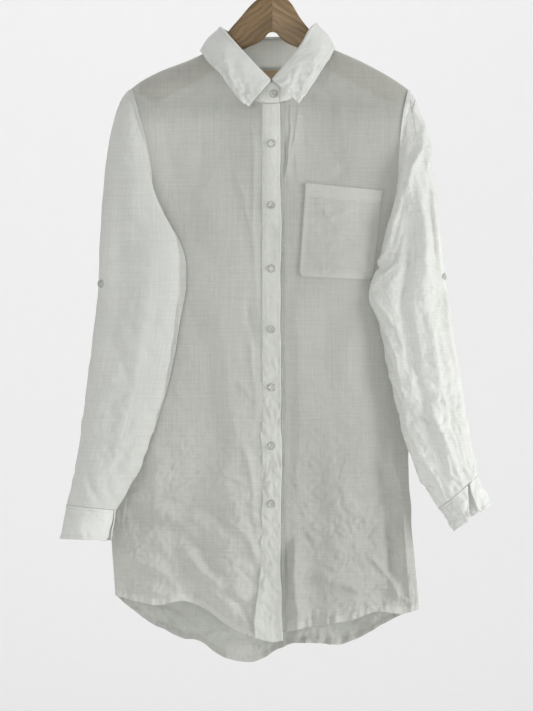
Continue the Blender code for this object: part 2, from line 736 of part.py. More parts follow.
def armhole_ring(side, front, yoke, back):
    """Round the armhole on the panels' own edge points: down the front to the underarm, up the back."""
    edge = 0 if side < 0 else -1
    down = front[:UPPER_ROWS + ARM_ROWS - 1, edge]
    up = np.concatenate([yoke[1:-1, -1 - edge], back[:ARM_ROWS - 1, -1 - edge]])[::-1]
    shares = []
    for line in (down, np.concatenate([down[-1:], up, down[:1]])):
        length = np.concatenate([[0.0], np.cumsum(np.linalg.norm(np.diff(line, axis=0), axis=1))])
        shares.append(length / length[-1] / 2)
    place = np.concatenate([shares[0], 0.5 + shares[1][1:-1]])
    points = np.concatenate([down, up])
    middle = np.flatnonzero((place >= ARM_SPLIT[0]) & (place < ARM_SPLIT[1]))
    place = np.insert(place, middle + 1, (place[middle] + place[middle + 1]) / 2)
    points = np.insert(points, middle + 1, (points[middle] + points[middle + 1]) / 2, axis=0)
    return points, place


def section_ring(row, side, angle):
    """Oval section of a sleeve: angle 0 on its outer side, a quarter turn on its front."""
    x, z, tilt, half_width, y, half_depth = row[:6]
    tilt = math.radians(tilt)
    across = half_width * np.cos(angle)
    return np.stack([
        x + across * side * math.cos(tilt),
        y - half_depth * np.sin(angle),
        z + across * math.sin(tilt),
    ], axis=-1)


def sleeve_fold(points, centre, angle, folds, z):
    """Long troughs and ridges: points move along their own radius."""
    place = (angle / (2 * math.pi)) % 1.0
    size = np.zeros_like(place)
    for at, width, depth, top_z, low_z in folds:
        away = np.abs(place - at)
        away = np.minimum(away, 1 - away)
        ends = smooth(top_z, top_z - 0.08, z) * smooth(low_z, low_z + 0.08, z)
        size = size + depth * np.exp(-(away / width) ** 2) * ends
    radius = points - centre
    length = np.linalg.norm(radius, axis=-1, keepdims=True)
    return points + radius / np.maximum(length, 1e-9) * size[..., None]


def keep_clear(points, side, clearance, inset):
    """Hold the sleeve in front of the body where the two overlap; the body's turned edge is left wide."""
    x, y, z = points[..., 0], points[..., 1], points[..., 2]
    edge = edge_x(z, side, True)
    inner_x = np.minimum(x * side, edge * side - inset) * side
    surface = front_y(inner_x, z) if side < 0 else left_front_y(inner_x, z)
    over = smooth(0.004 + inset, 0.000 + inset * 0.5, (x - edge) * side)
    limit = surface - clearance
    moved = np.where(y > limit, mix(y, limit, over), y)
    return np.stack([x, moved, z], axis=-1)


def sleeve_grid(side, armhole, top_rows):
    """Sleeve from the armhole, over the underarm's fold, to the cuff seam."""
    table = SLEEVE_RIGHT if side < 0 else SLEEVE_LEFT
    folds = SLEEVE_FOLDS_RIGHT if side < 0 else SLEEVE_FOLDS_LEFT
    start, place = armhole
    leave = np.stack([spline(SLEEVE_START, column, place) for column in (1, 2, 3)], axis=-1)
    leave = leave * np.array([side, -1.0, -1.0])
    leave /= np.linalg.norm(leave, axis=1, keepdims=True)
    start = start + leave * SLEEVE_EDGE_GAP

    def angles(z):
        """The underarm seam starts behind the sleeve and comes round to its inner side lower down."""
        turn = math.radians(mix(UNDERARM_TURN, 180.0, float(smooth(-0.48, -0.72, z))))
        low = np.minimum(place, 0.5) * 2 * turn
        high = np.maximum(place - 0.5, 0.0) * 2 * (2 * math.pi - turn)
        return low + high

    first = table[0]
    angle = angles(first[1])
    target = section_ring(first, side, angle)
    rings = [start]
    down = np.array([0.0, 0.0, -1.0])
    for t in np.linspace(0.0, 1.0, top_rows + 1)[1:] ** 1.25:
        ring = ((2 * t ** 3 - 3 * t ** 2 + 1) * start
                + (t ** 3 - 2 * t ** 2 + t) * SLEEVE_LEAVE[side] * leave
                + (3 * t ** 2 - 2 * t ** 3) * target
                + (t ** 3 - t ** 2) * SLEEVE_REACH * down)
        centre = ring.mean(axis=0)
        ring = sleeve_fold(ring, centre, angle, folds, ring[:, 2])
        clearance = mix(0.0010, SLEEVE_CLEARANCE, float(smooth(0.0, 0.4, t)))
        rings.append(keep_clear(ring, side, clearance, SLEEVE_INSET * float(smooth(0.1, 0.7, t))))
    for row in table[1:]:
        angle = angles(row[1])
        ring = section_ring(row, side, angle)
        centre = np.array([row[0], row[4], row[1]])
        ring = sleeve_fold(ring, centre, angle, folds, ring[:, 2])
        rings.append(keep_clear(ring, side, SLEEVE_CLEARANCE, SLEEVE_INSET))
    points = np.stack(rings)
    return points if side < 0 else points[:, ::-1]


def cuff_grid(name, side, columns, rows):
    """Open cuff: from one edge of its slit, round the wrist, to the other edge."""
    cuff = CUFFS[name]
    top = (SLEEVE_RIGHT if side < 0 else SLEEVE_LEFT)[-1]
    slit_top_place, slit_low_place, slit_top, slit_low = cuff[6:]
    top_centre = np.array([top[0], top[4], top[1]])
    low_centre = np.array([cuff[0], cuff[4], cuff[1]])
    axis = (low_centre - top_centre) / np.linalg.norm(low_centre - top_centre)
    lines = []
    for v in np.linspace(0.0, 1.0, rows):
        place = mix(slit_top_place, slit_low_place, v)
        half = mix(slit_top, slit_low, v) / 2
        angle = 2 * math.pi * np.linspace(place + half, place + 1 - half, columns)
        ring = mix(section_ring(top, side, angle), section_ring(cuff, side, angle), v)
        lines.append(ring + axis * CUFF_GAP)
    points = np.stack(lines)
    return points if side < 0 else points[:, ::-1]


# Turned outline of a button, radius and height over its back
BUTTON_OUTLINE = (
    # radius, height
    (0.0000, 0.0000),
    (0.0050, 0.0000),
    (0.0057, 0.0010),
    (0.0048, 0.0022),
    (0.0036, 0.0014),
    (0.0000, 0.0014),
)
BUTTON_SIDES = 12


def frame_on(normal):
    """Two directions across a normal."""
    normal = normal / np.linalg.norm(normal)
    helper = np.array([0.0, 0.0, 1.0]) if abs(normal[2]) < 0.9 else np.array([1.0, 0.0, 0.0])
    across = np.cross(helper, normal)
    across /= np.linalg.norm(across)
    return across, np.cross(normal, across), normal


def turned(name, outline, sides, centre, normal):
    """Round piece: an outline turned about the normal through its centre."""
    across, up, axis = frame_on(np.asarray(normal, dtype=float))
    coords = []
    rings = []
    for radius, height in outline:
        if radius == 0.0:
            rings.append([len(coords)])
            coords.append(centre + axis * height)
            continue
        ring = []
        for step in range(sides):
            angle = 2 * math.pi * step / sides
            ring.append(len(coords))
            coords.append(centre + axis * height + (across * math.cos(angle) + up * math.sin(angle)) * radius)
        rings.append(ring)
    faces = []
    for low, high in zip(rings, rings[1:]):
        for step in range(sides):
            after = (step + 1) % sides
            if len(low) == 1:
                faces.append((low[0], high[step], high[after]))
            elif len(high) == 1:
                faces.append((low[step], high[0], low[after]))
            else:
                faces.append((low[step], high[step], high[after], low[after]))
    return solid(name, coords, faces)


def surface_normal(surface, x, z):
    """Outward normal of a front surface given as y over x and z."""
    step = 0.004
    slope_x = (surface(x + step, z) - surface(x - step, z)) / (2 * step)
    slope_z = (surface(x, z + step) - surface(x, z - step)) / (2 * step)
    normal = np.array([float(slope_x), -1.0, float(slope_z)])
    return normal / np.linalg.norm(normal)


def add_buttons():
    pearl = material("pearl", (0.74, 0.75, 0.73), 0.25)

    def band_y(x, z):
        return front_y(x, z) - 0.0003

    for number, z in enumerate(BAND_BUTTONS_Z, 1):
        normal = surface_normal(band_y, BAND_BUTTON_X, z)
        centre = np.array([BAND_BUTTON_X, float(band_y(BAND_BUTTON_X, z)), z]) + normal * BUTTON_SEAT
        button = turned(f"button_{number}", BUTTON_OUTLINE, BUTTON_SIDES, centre, normal)
        button.data.materials.append(pearl)
    x, z = STAND_BUTTON
    low = seam_line(np.array(0.0))
    top = collar_fold(np.array(0.0))
    share = (z - low[2]) / (top[2] - low[2])
    normal = np.array([0.0, -(top[2] - low[2]), top[1] - low[1]])
    normal /= np.linalg.norm(normal)
    centre = mix(low, top, share) * np.array([0.0, 1.0, 1.0]) + np.array([x, 0.0, 0.0])
    button = turned("button_stand", BUTTON_OUTLINE, BUTTON_SIDES, centre + normal * BUTTON_SEAT, normal)
    button.data.materials.append(pearl)
    for name, side, table in (("right", -1, SLEEVE_RIGHT), ("left", 1, SLEEVE_LEFT)):
        row = [float(spline(table, column, ROLL_BUTTON_Z[name], key=1)) for column in range(6)]
        angle = math.radians(ROLL_BUTTON_ANGLE[name])
        point = section_ring(row, side, np.array(angle))
        normal = np.array([side * math.cos(angle) / row[3], -math.sin(angle) / row[5], 0.0])
        normal /= np.linalg.norm(normal)
        button = turned(f"roll_button_{name}", BUTTON_OUTLINE, BUTTON_SIDES,
                        point + normal * ROLL_BUTTON_SEAT, normal)
        button.data.materials.append(pearl)


def label_grid(columns, rows):
    """Bare woven label on the inside of the yoke, below the stand."""
    u = np.linspace(0.0, 1.0, columns)[None, :]
    v = np.linspace(0.0, 1.0, rows)[:, None]
    x = mix(LABEL_X[0], LABEL_X[1], u) + 0.0 * v
    z = mix(LABEL_Z[0], LABEL_Z[1], v) + 0.0 * u
    yoke = np.stack([x, back_y(x, z), z], axis=2)
    return yoke - grid_normals(yoke, False) * (WALL + LABEL_SEAT + LABEL_WALL)


def hanger_top(x, side):
    """Upper edge of the wood: the neck's own curve, then just under the shoulder cloth."""
    column = 0 if side < 0 else 1
    neck_end = HANGER_TOP[-1][column]
    own = spline(HANGER_TOP, 2, x, key=column)
    under = spline(RIDGE, 1, side * x) - WALL - HANGER_SEAT
    return np.where(x < neck_end, own, np.minimum(under, own))


def add_hanger():
    """Two wooden halves with rounded edges that meet under the hook."""
    wood = material("wood", (0.24, 0.15, 0.085), 0.55)
    half = HANGER_THICKNESS / 2
    section = (
        # y share, drop from the edge
        (0.00, 0.0000),
        (0.60, 0.0010),
        (1.00, 0.0050),
    )
    for name, side in (("hanger_right", -1), ("hanger_left", 1)):
        neck_x = abs(neck_side(side)[0])
        shoulder_x = abs(float(shoulder_end(side, True)))
        xs = np.concatenate([[HANGER_JOINT_GAP / 2, 0.012, 0.026, 0.040, 0.052, 0.064, neck_x - 0.003],
                             np.linspace(neck_x, shoulder_x, SHOULDER_COLUMNS + 1)[:-1], [HANGER_TIP_X]])
        top = hanger_top(xs, side)
        top[-1] -= 0.0015
        low = spline(HANGER_LOW, 1, xs)
        low[-1] = top[-1] - 0.016
        rings = []
        for x, high_z, low_z in zip(xs, top, low):
            ring = []
            for share, drop in section:
                ring.append((side * x, half * share, high_z - drop))
            for share, drop in reversed(section):
                ring.append((side * x, half * share, low_z + drop))
            for share, drop in section[1:]:
                ring.append((side * x, -half * share, low_z + drop))
            for share, drop in reversed(section[1:]):
                ring.append((side * x, -half * share, high_z - drop))
            rings.append(ring)
        count = len(rings[0])
        coords = [point for ring in rings for point in ring]
        faces = [tuple(range(count)), tuple(len(coords) - 1 - step for step in range(count))]
        for ring in range(len(rings) - 1):
            for step in range(count):
                after = (step + 1) % count
                a, b = ring * count + step, ring * count + after
                faces.append((a, b, b + count, a + count))
        item = solid(name, coords, faces)
        item.data.materials.append(wood)


def add_hook():
    """Bent wire hook whose inside top is the origin."""
    radius = HOOK_RADIUS + HOOK_WIRE
    centre_z = -HOOK_RADIUS
    points = [(0.0, 0.0, HANGER_TOP[0][2] + HOOK_SEAT)]
    points.append((0.0, 0.0, centre_z - radius - 0.010))
    for degrees in range(-78, 205, 12):
        angle = math.radians(degrees)
        points.append((radius * math.cos(angle), 0.0, centre_z + radius * math.sin(angle)))
    curve = bpy.data.curves.new("hook", "CURVE")
    curve.dimensions = "3D"
    line = curve.splines.new("POLY")
    line.points.add(len(points) - 1)
    for point, place in zip(line.points, points):
        point.co = (*place, 1.0)
    curve.bevel_depth = HOOK_WIRE
    curve.bevel_resolution = 2
    curve.use_fill_caps = True
    item = bpy.data.objects.new("hook", curve)
    bpy.context.collection.objects.link(item)
    curve.materials.append(material("hook_metal", (0.55, 0.55, 0.56), 0.25, 1.0))


def add_panel(name, points):
    linen(wall(name, points, WALL, turns=turning(points)))


def main():
    clear_scene()
    fronts = {-1: front_grid(-1), 1: front_grid(1)}
    yoke = yoke_grid()
    back = back_grid(21)
    add_panel("front_right", fronts[-1])
    add_panel("front_left", fronts[1])
    add_panel("yoke", yoke)
    add_panel("back", back)
    linen(wall("placket_over", over_band_grid(4, 22), BAND_WALL))
    linen(wall("placket_under", under_band_grid(4, 22), BAND_WALL))
    linen(wall("collar_stand", stand_grid(4), BAND_WALL))
    linen(wall("collar_leaf", leaf_grid(4), BAND_WALL))
    linen(wall("pocket", pocket_grid(8, 7), WALL))
    for name, side in (("right", -1), ("left", 1)):
        armhole = armhole_ring(side, fronts[side], yoke, back)
        linen(wall(f"sleeve_{name}", sleeve_grid(side, armhole, 9), WALL, closed=True))
        linen(wall(f"cuff_{name}", cuff_grid(f"cuff_{name}", side, 22, 4), BAND_WALL))
    label = wall("neck_label", label_grid(4, 3), LABEL_WALL)
    label.data.materials.append(material("label", (0.52, 0.36, 0.20), 0.8))
    add_buttons()
    add_hanger()
    add_hook()


main()
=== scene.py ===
# %% [markdown]
# # A linen shirt dress on its hanger
# The dress hangs still, so its shape is the shape of hanging cloth: broad panels that fall straight from
# the shoulders, soft dents where the linen was folded, and sharp little creases near seams and hems.
# We work in metres. The origin is the inside top of the hanger's hook, -Y is the front, and +X is the
# wearer's left.

# %% The frame
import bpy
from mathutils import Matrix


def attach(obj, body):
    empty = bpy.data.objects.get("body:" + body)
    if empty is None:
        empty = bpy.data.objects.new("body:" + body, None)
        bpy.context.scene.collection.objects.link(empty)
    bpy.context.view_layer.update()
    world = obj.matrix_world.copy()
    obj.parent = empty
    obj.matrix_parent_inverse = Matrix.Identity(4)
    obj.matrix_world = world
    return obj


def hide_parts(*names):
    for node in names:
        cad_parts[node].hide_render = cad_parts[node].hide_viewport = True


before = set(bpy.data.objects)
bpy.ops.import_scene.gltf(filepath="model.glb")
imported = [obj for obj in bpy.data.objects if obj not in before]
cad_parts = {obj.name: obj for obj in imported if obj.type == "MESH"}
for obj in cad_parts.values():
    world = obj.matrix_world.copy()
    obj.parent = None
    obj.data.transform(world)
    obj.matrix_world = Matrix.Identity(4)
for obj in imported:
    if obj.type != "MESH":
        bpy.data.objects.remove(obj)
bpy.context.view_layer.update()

import math

import bpy
import numpy as np

# %% [markdown]
# ## Curves and soft steps
# A garment's outline is a handful of measured places joined by a smooth line. A small cubic curve through
# a table does that, and an S-shaped step and a bell are enough for everything that swells or fades.

# %% Curves


def chart(text):
    """Rows of numbers under a line of column names. They are millimetres and become metres, but those under
    a name with a star are kept as they are."""
    names, *rows = text.split("\n")
    plain = [name.endswith("*") for name in names.split()]
    return [[float(cell if kept else cell + "e-3") for cell, kept in zip(row.split(), plain)] for row in rows]


def cubic(start, leave, end, arrive, t):
    """The cubic curve between two values with a slope at each, a share t of the way."""
    near = (2 * t ** 3 - 3 * t ** 2 + 1) * start + (t ** 3 - 2 * t ** 2 + t) * leave
    return near + ((3 * t ** 2 - 2 * t ** 3) * end + (t ** 3 - t ** 2) * arrive)


def spline(table, column, at, key=0):
    """Smooth curve through a table: cubic pieces whose slope at each row is its neighbours' mean slope."""
    data = np.asarray(table, dtype=float)
    data = data[np.argsort(data[:, key])]
    xs = data[:, key]
    ys = data[:, column]
    at = np.clip(np.asarray(at, dtype=float), xs[0], xs[-1])
    step = np.diff(xs)
    rise = np.diff(ys) / step
    slope = np.empty_like(ys)
    slope[0] = rise[0]
    slope[-1] = rise[-1]
    slope[1:-1] = (rise[:-1] * step[1:] + rise[1:] * step[:-1]) / (step[1:] + step[:-1])
    place = np.clip(np.searchsorted(xs, at, side="right") - 1, 0, len(xs) - 2)
    width = step[place]
    t = (at - xs[place]) / width
    return cubic(ys[place], width * slope[place], ys[place + 1], width * slope[place + 1], t)


def splines(table, columns, at, key=0):
    """Several columns of a table at once, as the last axis of the result."""
    return np.stack([spline(table, column, at, key) for column in columns], axis=-1)


def smooth(low, high, at):
    """0 below low, 1 above high, and the S curve 3t^2 - 2t^3 between."""
    t = np.clip((np.asarray(at, dtype=float) - low) / (high - low), 0.0, 1.0)
    return t * t * (3 - 2 * t)


def mix(a, b, t):
    """The point a share t of the way from a to b."""
    return a + (b - a) * t


def bell(at, centre, width):
    """A hump of height 1: e to the minus (distance over width) squared."""
    return np.exp(-((at - centre) / width) ** 2)


def net(rows, columns):
    """Shares across and down a grid, each from 0 to 1."""
    return np.linspace(0.0, 1.0, columns)[None, :], np.linspace(0.0, 1.0, rows)[:, None]


def xyz(x, y, z):
    """Points from their three coordinates."""
    return np.stack(np.broadcast_arrays(x, y, z), axis=-1)


def unit(vectors):
    """The same directions with length 1."""
    return vectors / np.maximum(np.linalg.norm(vectors, axis=-1, keepdims=True), 1e-9)


def circle(count):
    """Angles once round, evenly spaced."""
    return np.linspace(0.0, 2 * math.pi, count, endpoint=False)


def run_of(line):
    """Distance of each point of a line from its first."""
    return np.concatenate([[0.0], np.cumsum(np.linalg.norm(np.diff(line, axis=0), axis=1))])


def follow(line, run, at):
    """Points of a line where its running number has the values at."""
    return np.stack([np.interp(at, run, line[:, axis]) for axis in range(3)], axis=-1)


UP = np.array([0.0, 0.0, 1.0])
BACKWARDS = np.array([0.0, 1.0, 0.0])
print("halfway up an S step:", float(smooth(0, 1, 0.5)))

# %% [markdown]
# ## The dress's own sizes
# These are the cut and the hang of this dress: how wide the body is at each height, where the armholes
# run, how the shoulders slope over the hanger's arms, and the wavy line of each hem.

# %% Sizes
WALL = 0.0012
GAP = 0.0003
LAP_DROP = 0.0024
NECK_CENTRE_X = -0.004
NECK_HALF_WIDTH = 0.076
NECK_FRONT_Z = -0.2375
NECK_BACK_Z = -0.1800
YOKE_SEAM_Z = -0.238
UNDERARM_Z = -0.440
RIDGE_ROUNDING = 0.090
SIDE_HEM_Z = -0.94
# Height of the streaky band of painted shade along the yoke seam.
SEAM_PAINTED_SHADE_Z = -0.240
SEWN_FADE = 0.030
OVER_SEAM_X = -0.0155
OVER_FREE_X = 0.0120
UNDER_HIDDEN_X = -0.0125
UNDER_SEAM_X = 0.0190

BODY = chart("""z right_x left_x side_y front_depth back_depth
-200 -204 200 0 30 30
-300 -205 194 10 30 30
-440 -205 189 22 40 24
-600 -212 191 22 44 28
-730 -220 194 16 42 34
-850 -229.5 200.5 6 38 38
-930 -225 208 0 36 38
-1040 -222 210 0 34 36""")
ARMHOLE = chart("""z front_right_x front_left_x back_right_x back_left_x
-214 -202 196 -202 196
-245 -193.5 189 -197 191
-297 -179 182 -192 186
-340 -171.5 179 -190 183
-375 -173 177 -191 182.5
-410 -186 180 -196 184
-440 -205 189 -205 189""")
RIDGE = chart("""x z
-204 -215.5
-191 -205.4
-165 -191
-117 -172
-92 -160
-80 -153
0 -118
72 -150
89 -158
124 -173.5
174 -201
200 -219""")
FRONT_HEM = chart("""x z
-224 -936
-194 -943.5
-155.5 -948
-128 -942
-94.4 -955
-66 -976.5
-29.4 -993
7.7 -1000
12 -999""")
FRONT_HEM_LEFT = chart("""x z
-12.5 -988
15.3 -986.4
63.2 -976.5
103 -972
155.5 -958
184.7 -962
208 -956""")
BACK_HEM = chart("""x z
-224 -936
-183.3 -969
-128 -999
-106.4 -1004
-75.5 -1023
-29.4 -1033
-10.7 -1028
7.8 -1015
32 -1007
87.8 -1009
112.3 -1005
143.1 -987
174 -969
208 -956""")
BODY_FOLDS = chart("""x width front_depth back_depth top_z
-165 30 4 -3 -550
-110 34 -5 6 -500
-60 26 4 -4.5 -600
-20 30 0 7 -400
55 30 -3.5 -5 -550
100 34 4.5 6 -500
150 28 -3.5 -3.5 -600""")
print("hem tables:", len(FRONT_HEM), len(FRONT_HEM_LEFT), len(BACK_HEM), "places")

# %% [markdown]
# ## Sizes of the sleeves, cuffs and collar
# Each sleeve is a list of oval sections from the underarm to the wrist. The collar is a fold line and a free
# edge, both given by the angle round the neck, so a point of the collar is a row of its table.

# %% More sizes
SLEEVE_RIGHT = chart("""x z tilt_degrees* half_width y half_depth
-184.5 -470 0 62 -18 28
-185.5 -500 0 62.5 -20 28
-191.5 -543 0 60.5 -22 28
-198 -587 0 60 -23 28
-205.5 -631 0 58 -24 28
-217 -684 0 54 -25 28
-227.5 -728 0 49.5 -26 28
-237.5 -762 2 45.5 -27 28
-248 -789 4 40 -28 27
-257 -809 6 36 -28 26""")
SLEEVE_LEFT = chart("""x z tilt_degrees* half_width y half_depth
198.5 -470 0 44.5 -18 28
194 -488 0 51 -19 28
192.7 -506 0 55.7 -20 28
204.1 -550 0 52.1 -22 28
211.7 -596 0 51.7 -23 28
221.6 -651 0 49.8 -24 28
230.4 -694 2 48 -25 28
239.5 -728 6 45.2 -26 28
247 -753 16 42.5 -27 28
255.5 -772 29 39.5 -28 27
263.4 -787.5 40 37 -28 26""")
SLEEVE_START = chart("""place* outward* forward* downward*
0 1 0 .05
.12 .7 .45 .35
.25 .15 .75 .6
.36 0 .85 .5
.44 .45 .8 .35
.5 .65 .4 .6
.58 .85 .15 .45
.65 .85 0 .5
.85 .95 -.2 .25
1 1 0 .05""")
SLEEVE_LEAVE = {-1: 0.120, 1: 0.074}
SLEEVE_ARRIVE = 0.140
SLEEVE_FOLDS_RIGHT = chart("""place* width* depth top_z low_z
.16 .035 -2.2 -300 -640
.27 .030 1.8 -420 -790
.72 .040 -5 -480 -760""")
SLEEVE_FOLDS_LEFT = chart("""place* width* depth top_z low_z
.1 .030 -6 -260 -620
.19 .026 5 -300 -700
.28 .030 -7 -360 -760
.72 .040 -5 -480 -760""")
CUFF_ENDS = chart("""x z tilt_degrees* half_width y half_depth top_place* low_place* top_slit* low_slit*
-265 -854.5 3 38 -28 27 .44 .44 .012 .05
283.5 -824 36 34.5 -28 27 .17 .24 .016 .085""")
STAND_ENDS = (-10.0, 372.0)
LEAF_ENDS = (-2.0, 362.0)
COLLAR = chart("""angle_degrees* fold_x fold_y fold_z edge_x edge_y edge_z
-2 -2.5 -49 -207 -33.5 -60 -241.5
20 -26 -45 -183 -48 -57 -231
40 -46 -37 -161 -74 -49 -196.5
64 -66 -22 -138 -93 -33 -175
90 -74 -1 -129 -103 -1 -159
120 -64 25 -133 -90 40 -168
150 -37 42 -139 -54 61 -180
180 -4 46 -140 -4 67 -185
210 29 42 -138 46 61 -179
240 54 25 -131 80 40 -166
270 62 -1 -124 89 -1 -154.5
296 53 -22 -133 80 -33 -174
320 40 -37 -157 66 -49 -196
340 20 -45 -182 47 -57 -225
362 -.5 -49 -206 37 -60 -236.5""")
COLLAR_ROLL = chart("""place* out up
0 -1.6 .9
.25 -1.3 3.2
.5 .4 4.2
.75 2.6 3.6
1 3.6 1""")
POCKET = chart("""x z
46.9 -349.3
157.2 -359.7
142 -486.2
37.6 -481.9""")
POCKET_BAND = 0.135
STAND_BUTTON = (0.0020, -0.2235)
BAND_BUTTONS_Z = (-0.294, -0.381, -0.471, -0.557, -0.639, -0.722, -0.804)
HANGER_TOP = chart("""right_x left_x z
0 0 -78
12.5 12.5 -80.8
25.7 24.9 -89.2
47 40 -113
61.5 53.3 -130
70 62 -142.5
77 69.5 -154.5""")
HANGER_LOW = chart("""x z
0 -132.5
5.5 -134
11 -140.5
40 -157
80 -185
130 -213
170 -233
190 -233""")
print("sleeve sections:", len(SLEEVE_RIGHT), len(SLEEVE_LEFT), "collar places:", len(COLLAR))


# %% [markdown]
# ## Linen's crumple
# Linen doesn't wrinkle in round waves. It breaks into small flat facets that meet in sharp lines, because
# its stiff threads bend at a few places only. Folding smooth noise about its middle value gives just
# that: hills on both sides and a sharp valley where they meet. Long creases are placed one by one.

# %% Crumple and creases


def lattice(a, b, seed):
    """A repeatable random number from 0 to 1 for each pair of whole numbers."""
    n = (a * 374761393 + b * 668265263 + seed * 974711) & 0x7FFFFFFF
    n = ((n ^ (n >> 13)) * 1274126177) & 0x7FFFFFFF
    return ((n ^ (n >> 16)) & 0xFFFF) / 65535.0


def noise(a, b, seed):
    """Smooth hills from 0 to 1: the four lattice numbers round each place, blended by an S curve."""
    a, b = np.broadcast_arrays(np.asarray(a, float), np.asarray(b, float))
    ia = np.floor(a).astype(np.int64)
    ib = np.floor(b).astype(np.int64)
    ta = smooth(0.0, 1.0, a - ia)
    tb = smooth(0.0, 1.0, b - ib)
    low = mix(lattice(ia, ib, seed), lattice(ia + 1, ib, seed), ta)
    high = mix(lattice(ia, ib + 1, seed), lattice(ia + 1, ib + 1, seed), ta)
    return mix(low, high, tb)


def waver(a, b, seed, size):
    """Noise about zero, size from its lowest to its highest."""
    return (noise(a, b, seed) - 0.5) * size


def crumple(a, b, size, seed):
    """Facets of a given size, from -0.5 to 0.5: noise folded at its middle, along a path that wanders."""
    sway = noise(a / size / 2, b / size / 2, seed + 11) * 1.6
    first = np.abs(2 * noise(a / size + sway, b / size - sway, seed) - 1)
    second = np.abs(2 * noise(a / size * 2.1 - sway, b / size * 2.1, seed + 5) - 1)
    return first * 0.7 + second * 0.3 - 0.5


def creases(x, z, table):
    """Height of listed ridges and troughs. Each follows a bowed line between two points, falls off
    across it like a bell with a sharp crest that is steeper on one side, and fades towards both ends."""
    total = np.zeros(np.broadcast(x, z).shape)
    for x0, z0, x1, z1, width, height, bow in table:
        dx, dz = x1 - x0, z1 - z0
        length = math.hypot(dx, dz)
        t = ((x - x0) * dx + (z - z0) * dz) / length ** 2
        across = ((z - z0) * dx - (x - x0) * dz) / length - bow * length * 4 * t * (1 - t)
        wander = waver(t * 5, width * 900 + height * 1e4, 3, width) * 0.9
        side = np.where(across > wander, width, width * 0.6)
        uneven = 0.75 + 0.5 * noise(t * 4, x0 * 90, 8)
        fade = smooth(-0.12, 0.22, t) * smooth(1.12, 0.78, t)
        total = total + height * uneven * np.exp(-(((across - wander) / side) ** 2) ** 0.7) * fade
    return total


print("crumple at three places:", np.round(crumple(np.array([0.0, 0.1, 0.2]), 0.3, 0.03, 1), 3))

# %% [markdown]
# ## Turning grids into cloth
# Every cloth piece is a grid of points: rows run down the dress and columns run across it. The piece
# carries a map in metres, so a woven thread keeps its real width on every panel, and a number called
# ply that says how many layers lie there. A hem has three, so it looks denser.

# %% Cloth builder


def lengths(points, axis):
    """Distance along each row or column of a grid, from its first point."""
    step = np.linalg.norm(np.diff(points, axis=axis), axis=2)
    pad = [(0, 0), (0, 0)]
    pad[axis] = (1, 0)
    return np.cumsum(np.pad(step, pad), axis=axis)


def wrap(grid, closed=True):
    """A closed grid gets its first column again at the end."""
    return np.concatenate([grid, grid[:, :1]], axis=1) if closed else grid


def corners(grid):
    """The values at the four corners of each cell, in order round it."""
    return np.stack([grid[:-1, :-1], grid[:-1, 1:], grid[1:, 1:], grid[1:, :-1]], axis=2)


def numbers(rows, columns, start=0):
    """A grid of the numbers of its own points."""
    return np.arange(start, start + rows * columns).reshape(rows, columns)


def area(points):
    """Area of a grid, from the cross product of each cell's diagonals."""
    a, b, c, d = np.moveaxis(corners(points), 2, 0)
    return np.linalg.norm(np.cross(c - a, d - b), axis=2).sum() / 2


def build(name, points, faces, material, smooth=True):
    """A mesh object from points and faces of four corners."""
    mesh = bpy.data.meshes.new(name)
    mesh.from_pydata(points.reshape(-1, 3).tolist(), [], faces.reshape(-1, 4).tolist())
    if smooth:
        mesh.shade_smooth()
    mesh.materials.append(material)
    item = bpy.data.objects.new(name, mesh)
    bpy.context.collection.objects.link(item)
    return item


def settle(item, node=None):
    """Put a piece in the frame, in place of its node if it has one."""
    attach(item, "root")
    if node:
        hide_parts(node)


def hang(name, points, ply, node, material, flat, share, plan="even", closed=False, front=True, thick=0.0,
         slot="linen"):
    """Make a cloth piece with one face per grid cell. flat, the size of its cut, and share, what it fills of
    it, are not used. Its map in metres is plan, or x and z for "flat", or the distance along rows and
    columns for "even".
    thick is for pieces of two layers and grows inwards."""
    wide = wrap(points, closed)
    if isinstance(plan, str):
        across = lengths(wide, 1)
        middle = across[:, across.shape[1] // 2][:, None]
        even = np.stack([across - middle, -lengths(wide, 0)], axis=-1)
        plan = even if plan == "even" else wide[..., ::2]
    quads = corners(wrap(numbers(*points.shape[:2]), closed)).reshape(-1, 4)
    maps = corners(plan).reshape(-1, 4, 2)
    if front:
        quads, maps = quads[:, ::-1], maps[:, ::-1]
    item = build(name, points, quads, material)
    layer = item.data.uv_layers.new(name="UVMap")
    layer.data.foreach_set("uv", maps.reshape(-1).astype(np.float32))
    values = np.broadcast_to(ply, points.shape[:2]).reshape(-1)
    item.data.attributes.new("ply", "FLOAT", "POINT").data.foreach_set("value", values.astype(np.float32))
    if thick:
        wall = item.modifiers.new("layers", "SOLIDIFY")
        wall.thickness, wall.offset = thick, -1.0
    settle(item, node)
    flat[0] * flat[1] * share
    print(f"{name}: {len(quads)} faces, {area(wide) * 1e4:.0f} cm2 of cloth")
    return points


# %% [markdown]
# ## The linen itself
# Sheer linen is a loose net of uneven threads. Light passes between them, glows through them and
# scatters off them, so the shader mixes three things: a matt surface, a translucent one, and an open gap.
# Two stretched noises, one along each thread direction, make thick and thin threads. They read the map in
# metres, so the weave follows each piece's own grain, and ply closes the gaps where layers lie together.

# %% Linen


class Value:
    """A number or colour in a material. Adding or multiplying makes the node that does it."""

    def __init__(self, shader, socket):
        self.shader, self.socket = shader, socket

    def __add__(self, other):
        return self.shader.maths("ADD", self, other)

    def __sub__(self, other):
        return self.shader.maths("SUBTRACT", self, other)

    def __mul__(self, other):
        return self.shader.maths("MULTIPLY", self, other)

    def to(self, low, high, to_low, to_high):
        """Map a range to another, held at its ends."""
        return self.shader.add("MapRange", "Result", Value=self, From_Min=low, From_Max=high, To_Min=to_low,
                               To_Max=to_high)


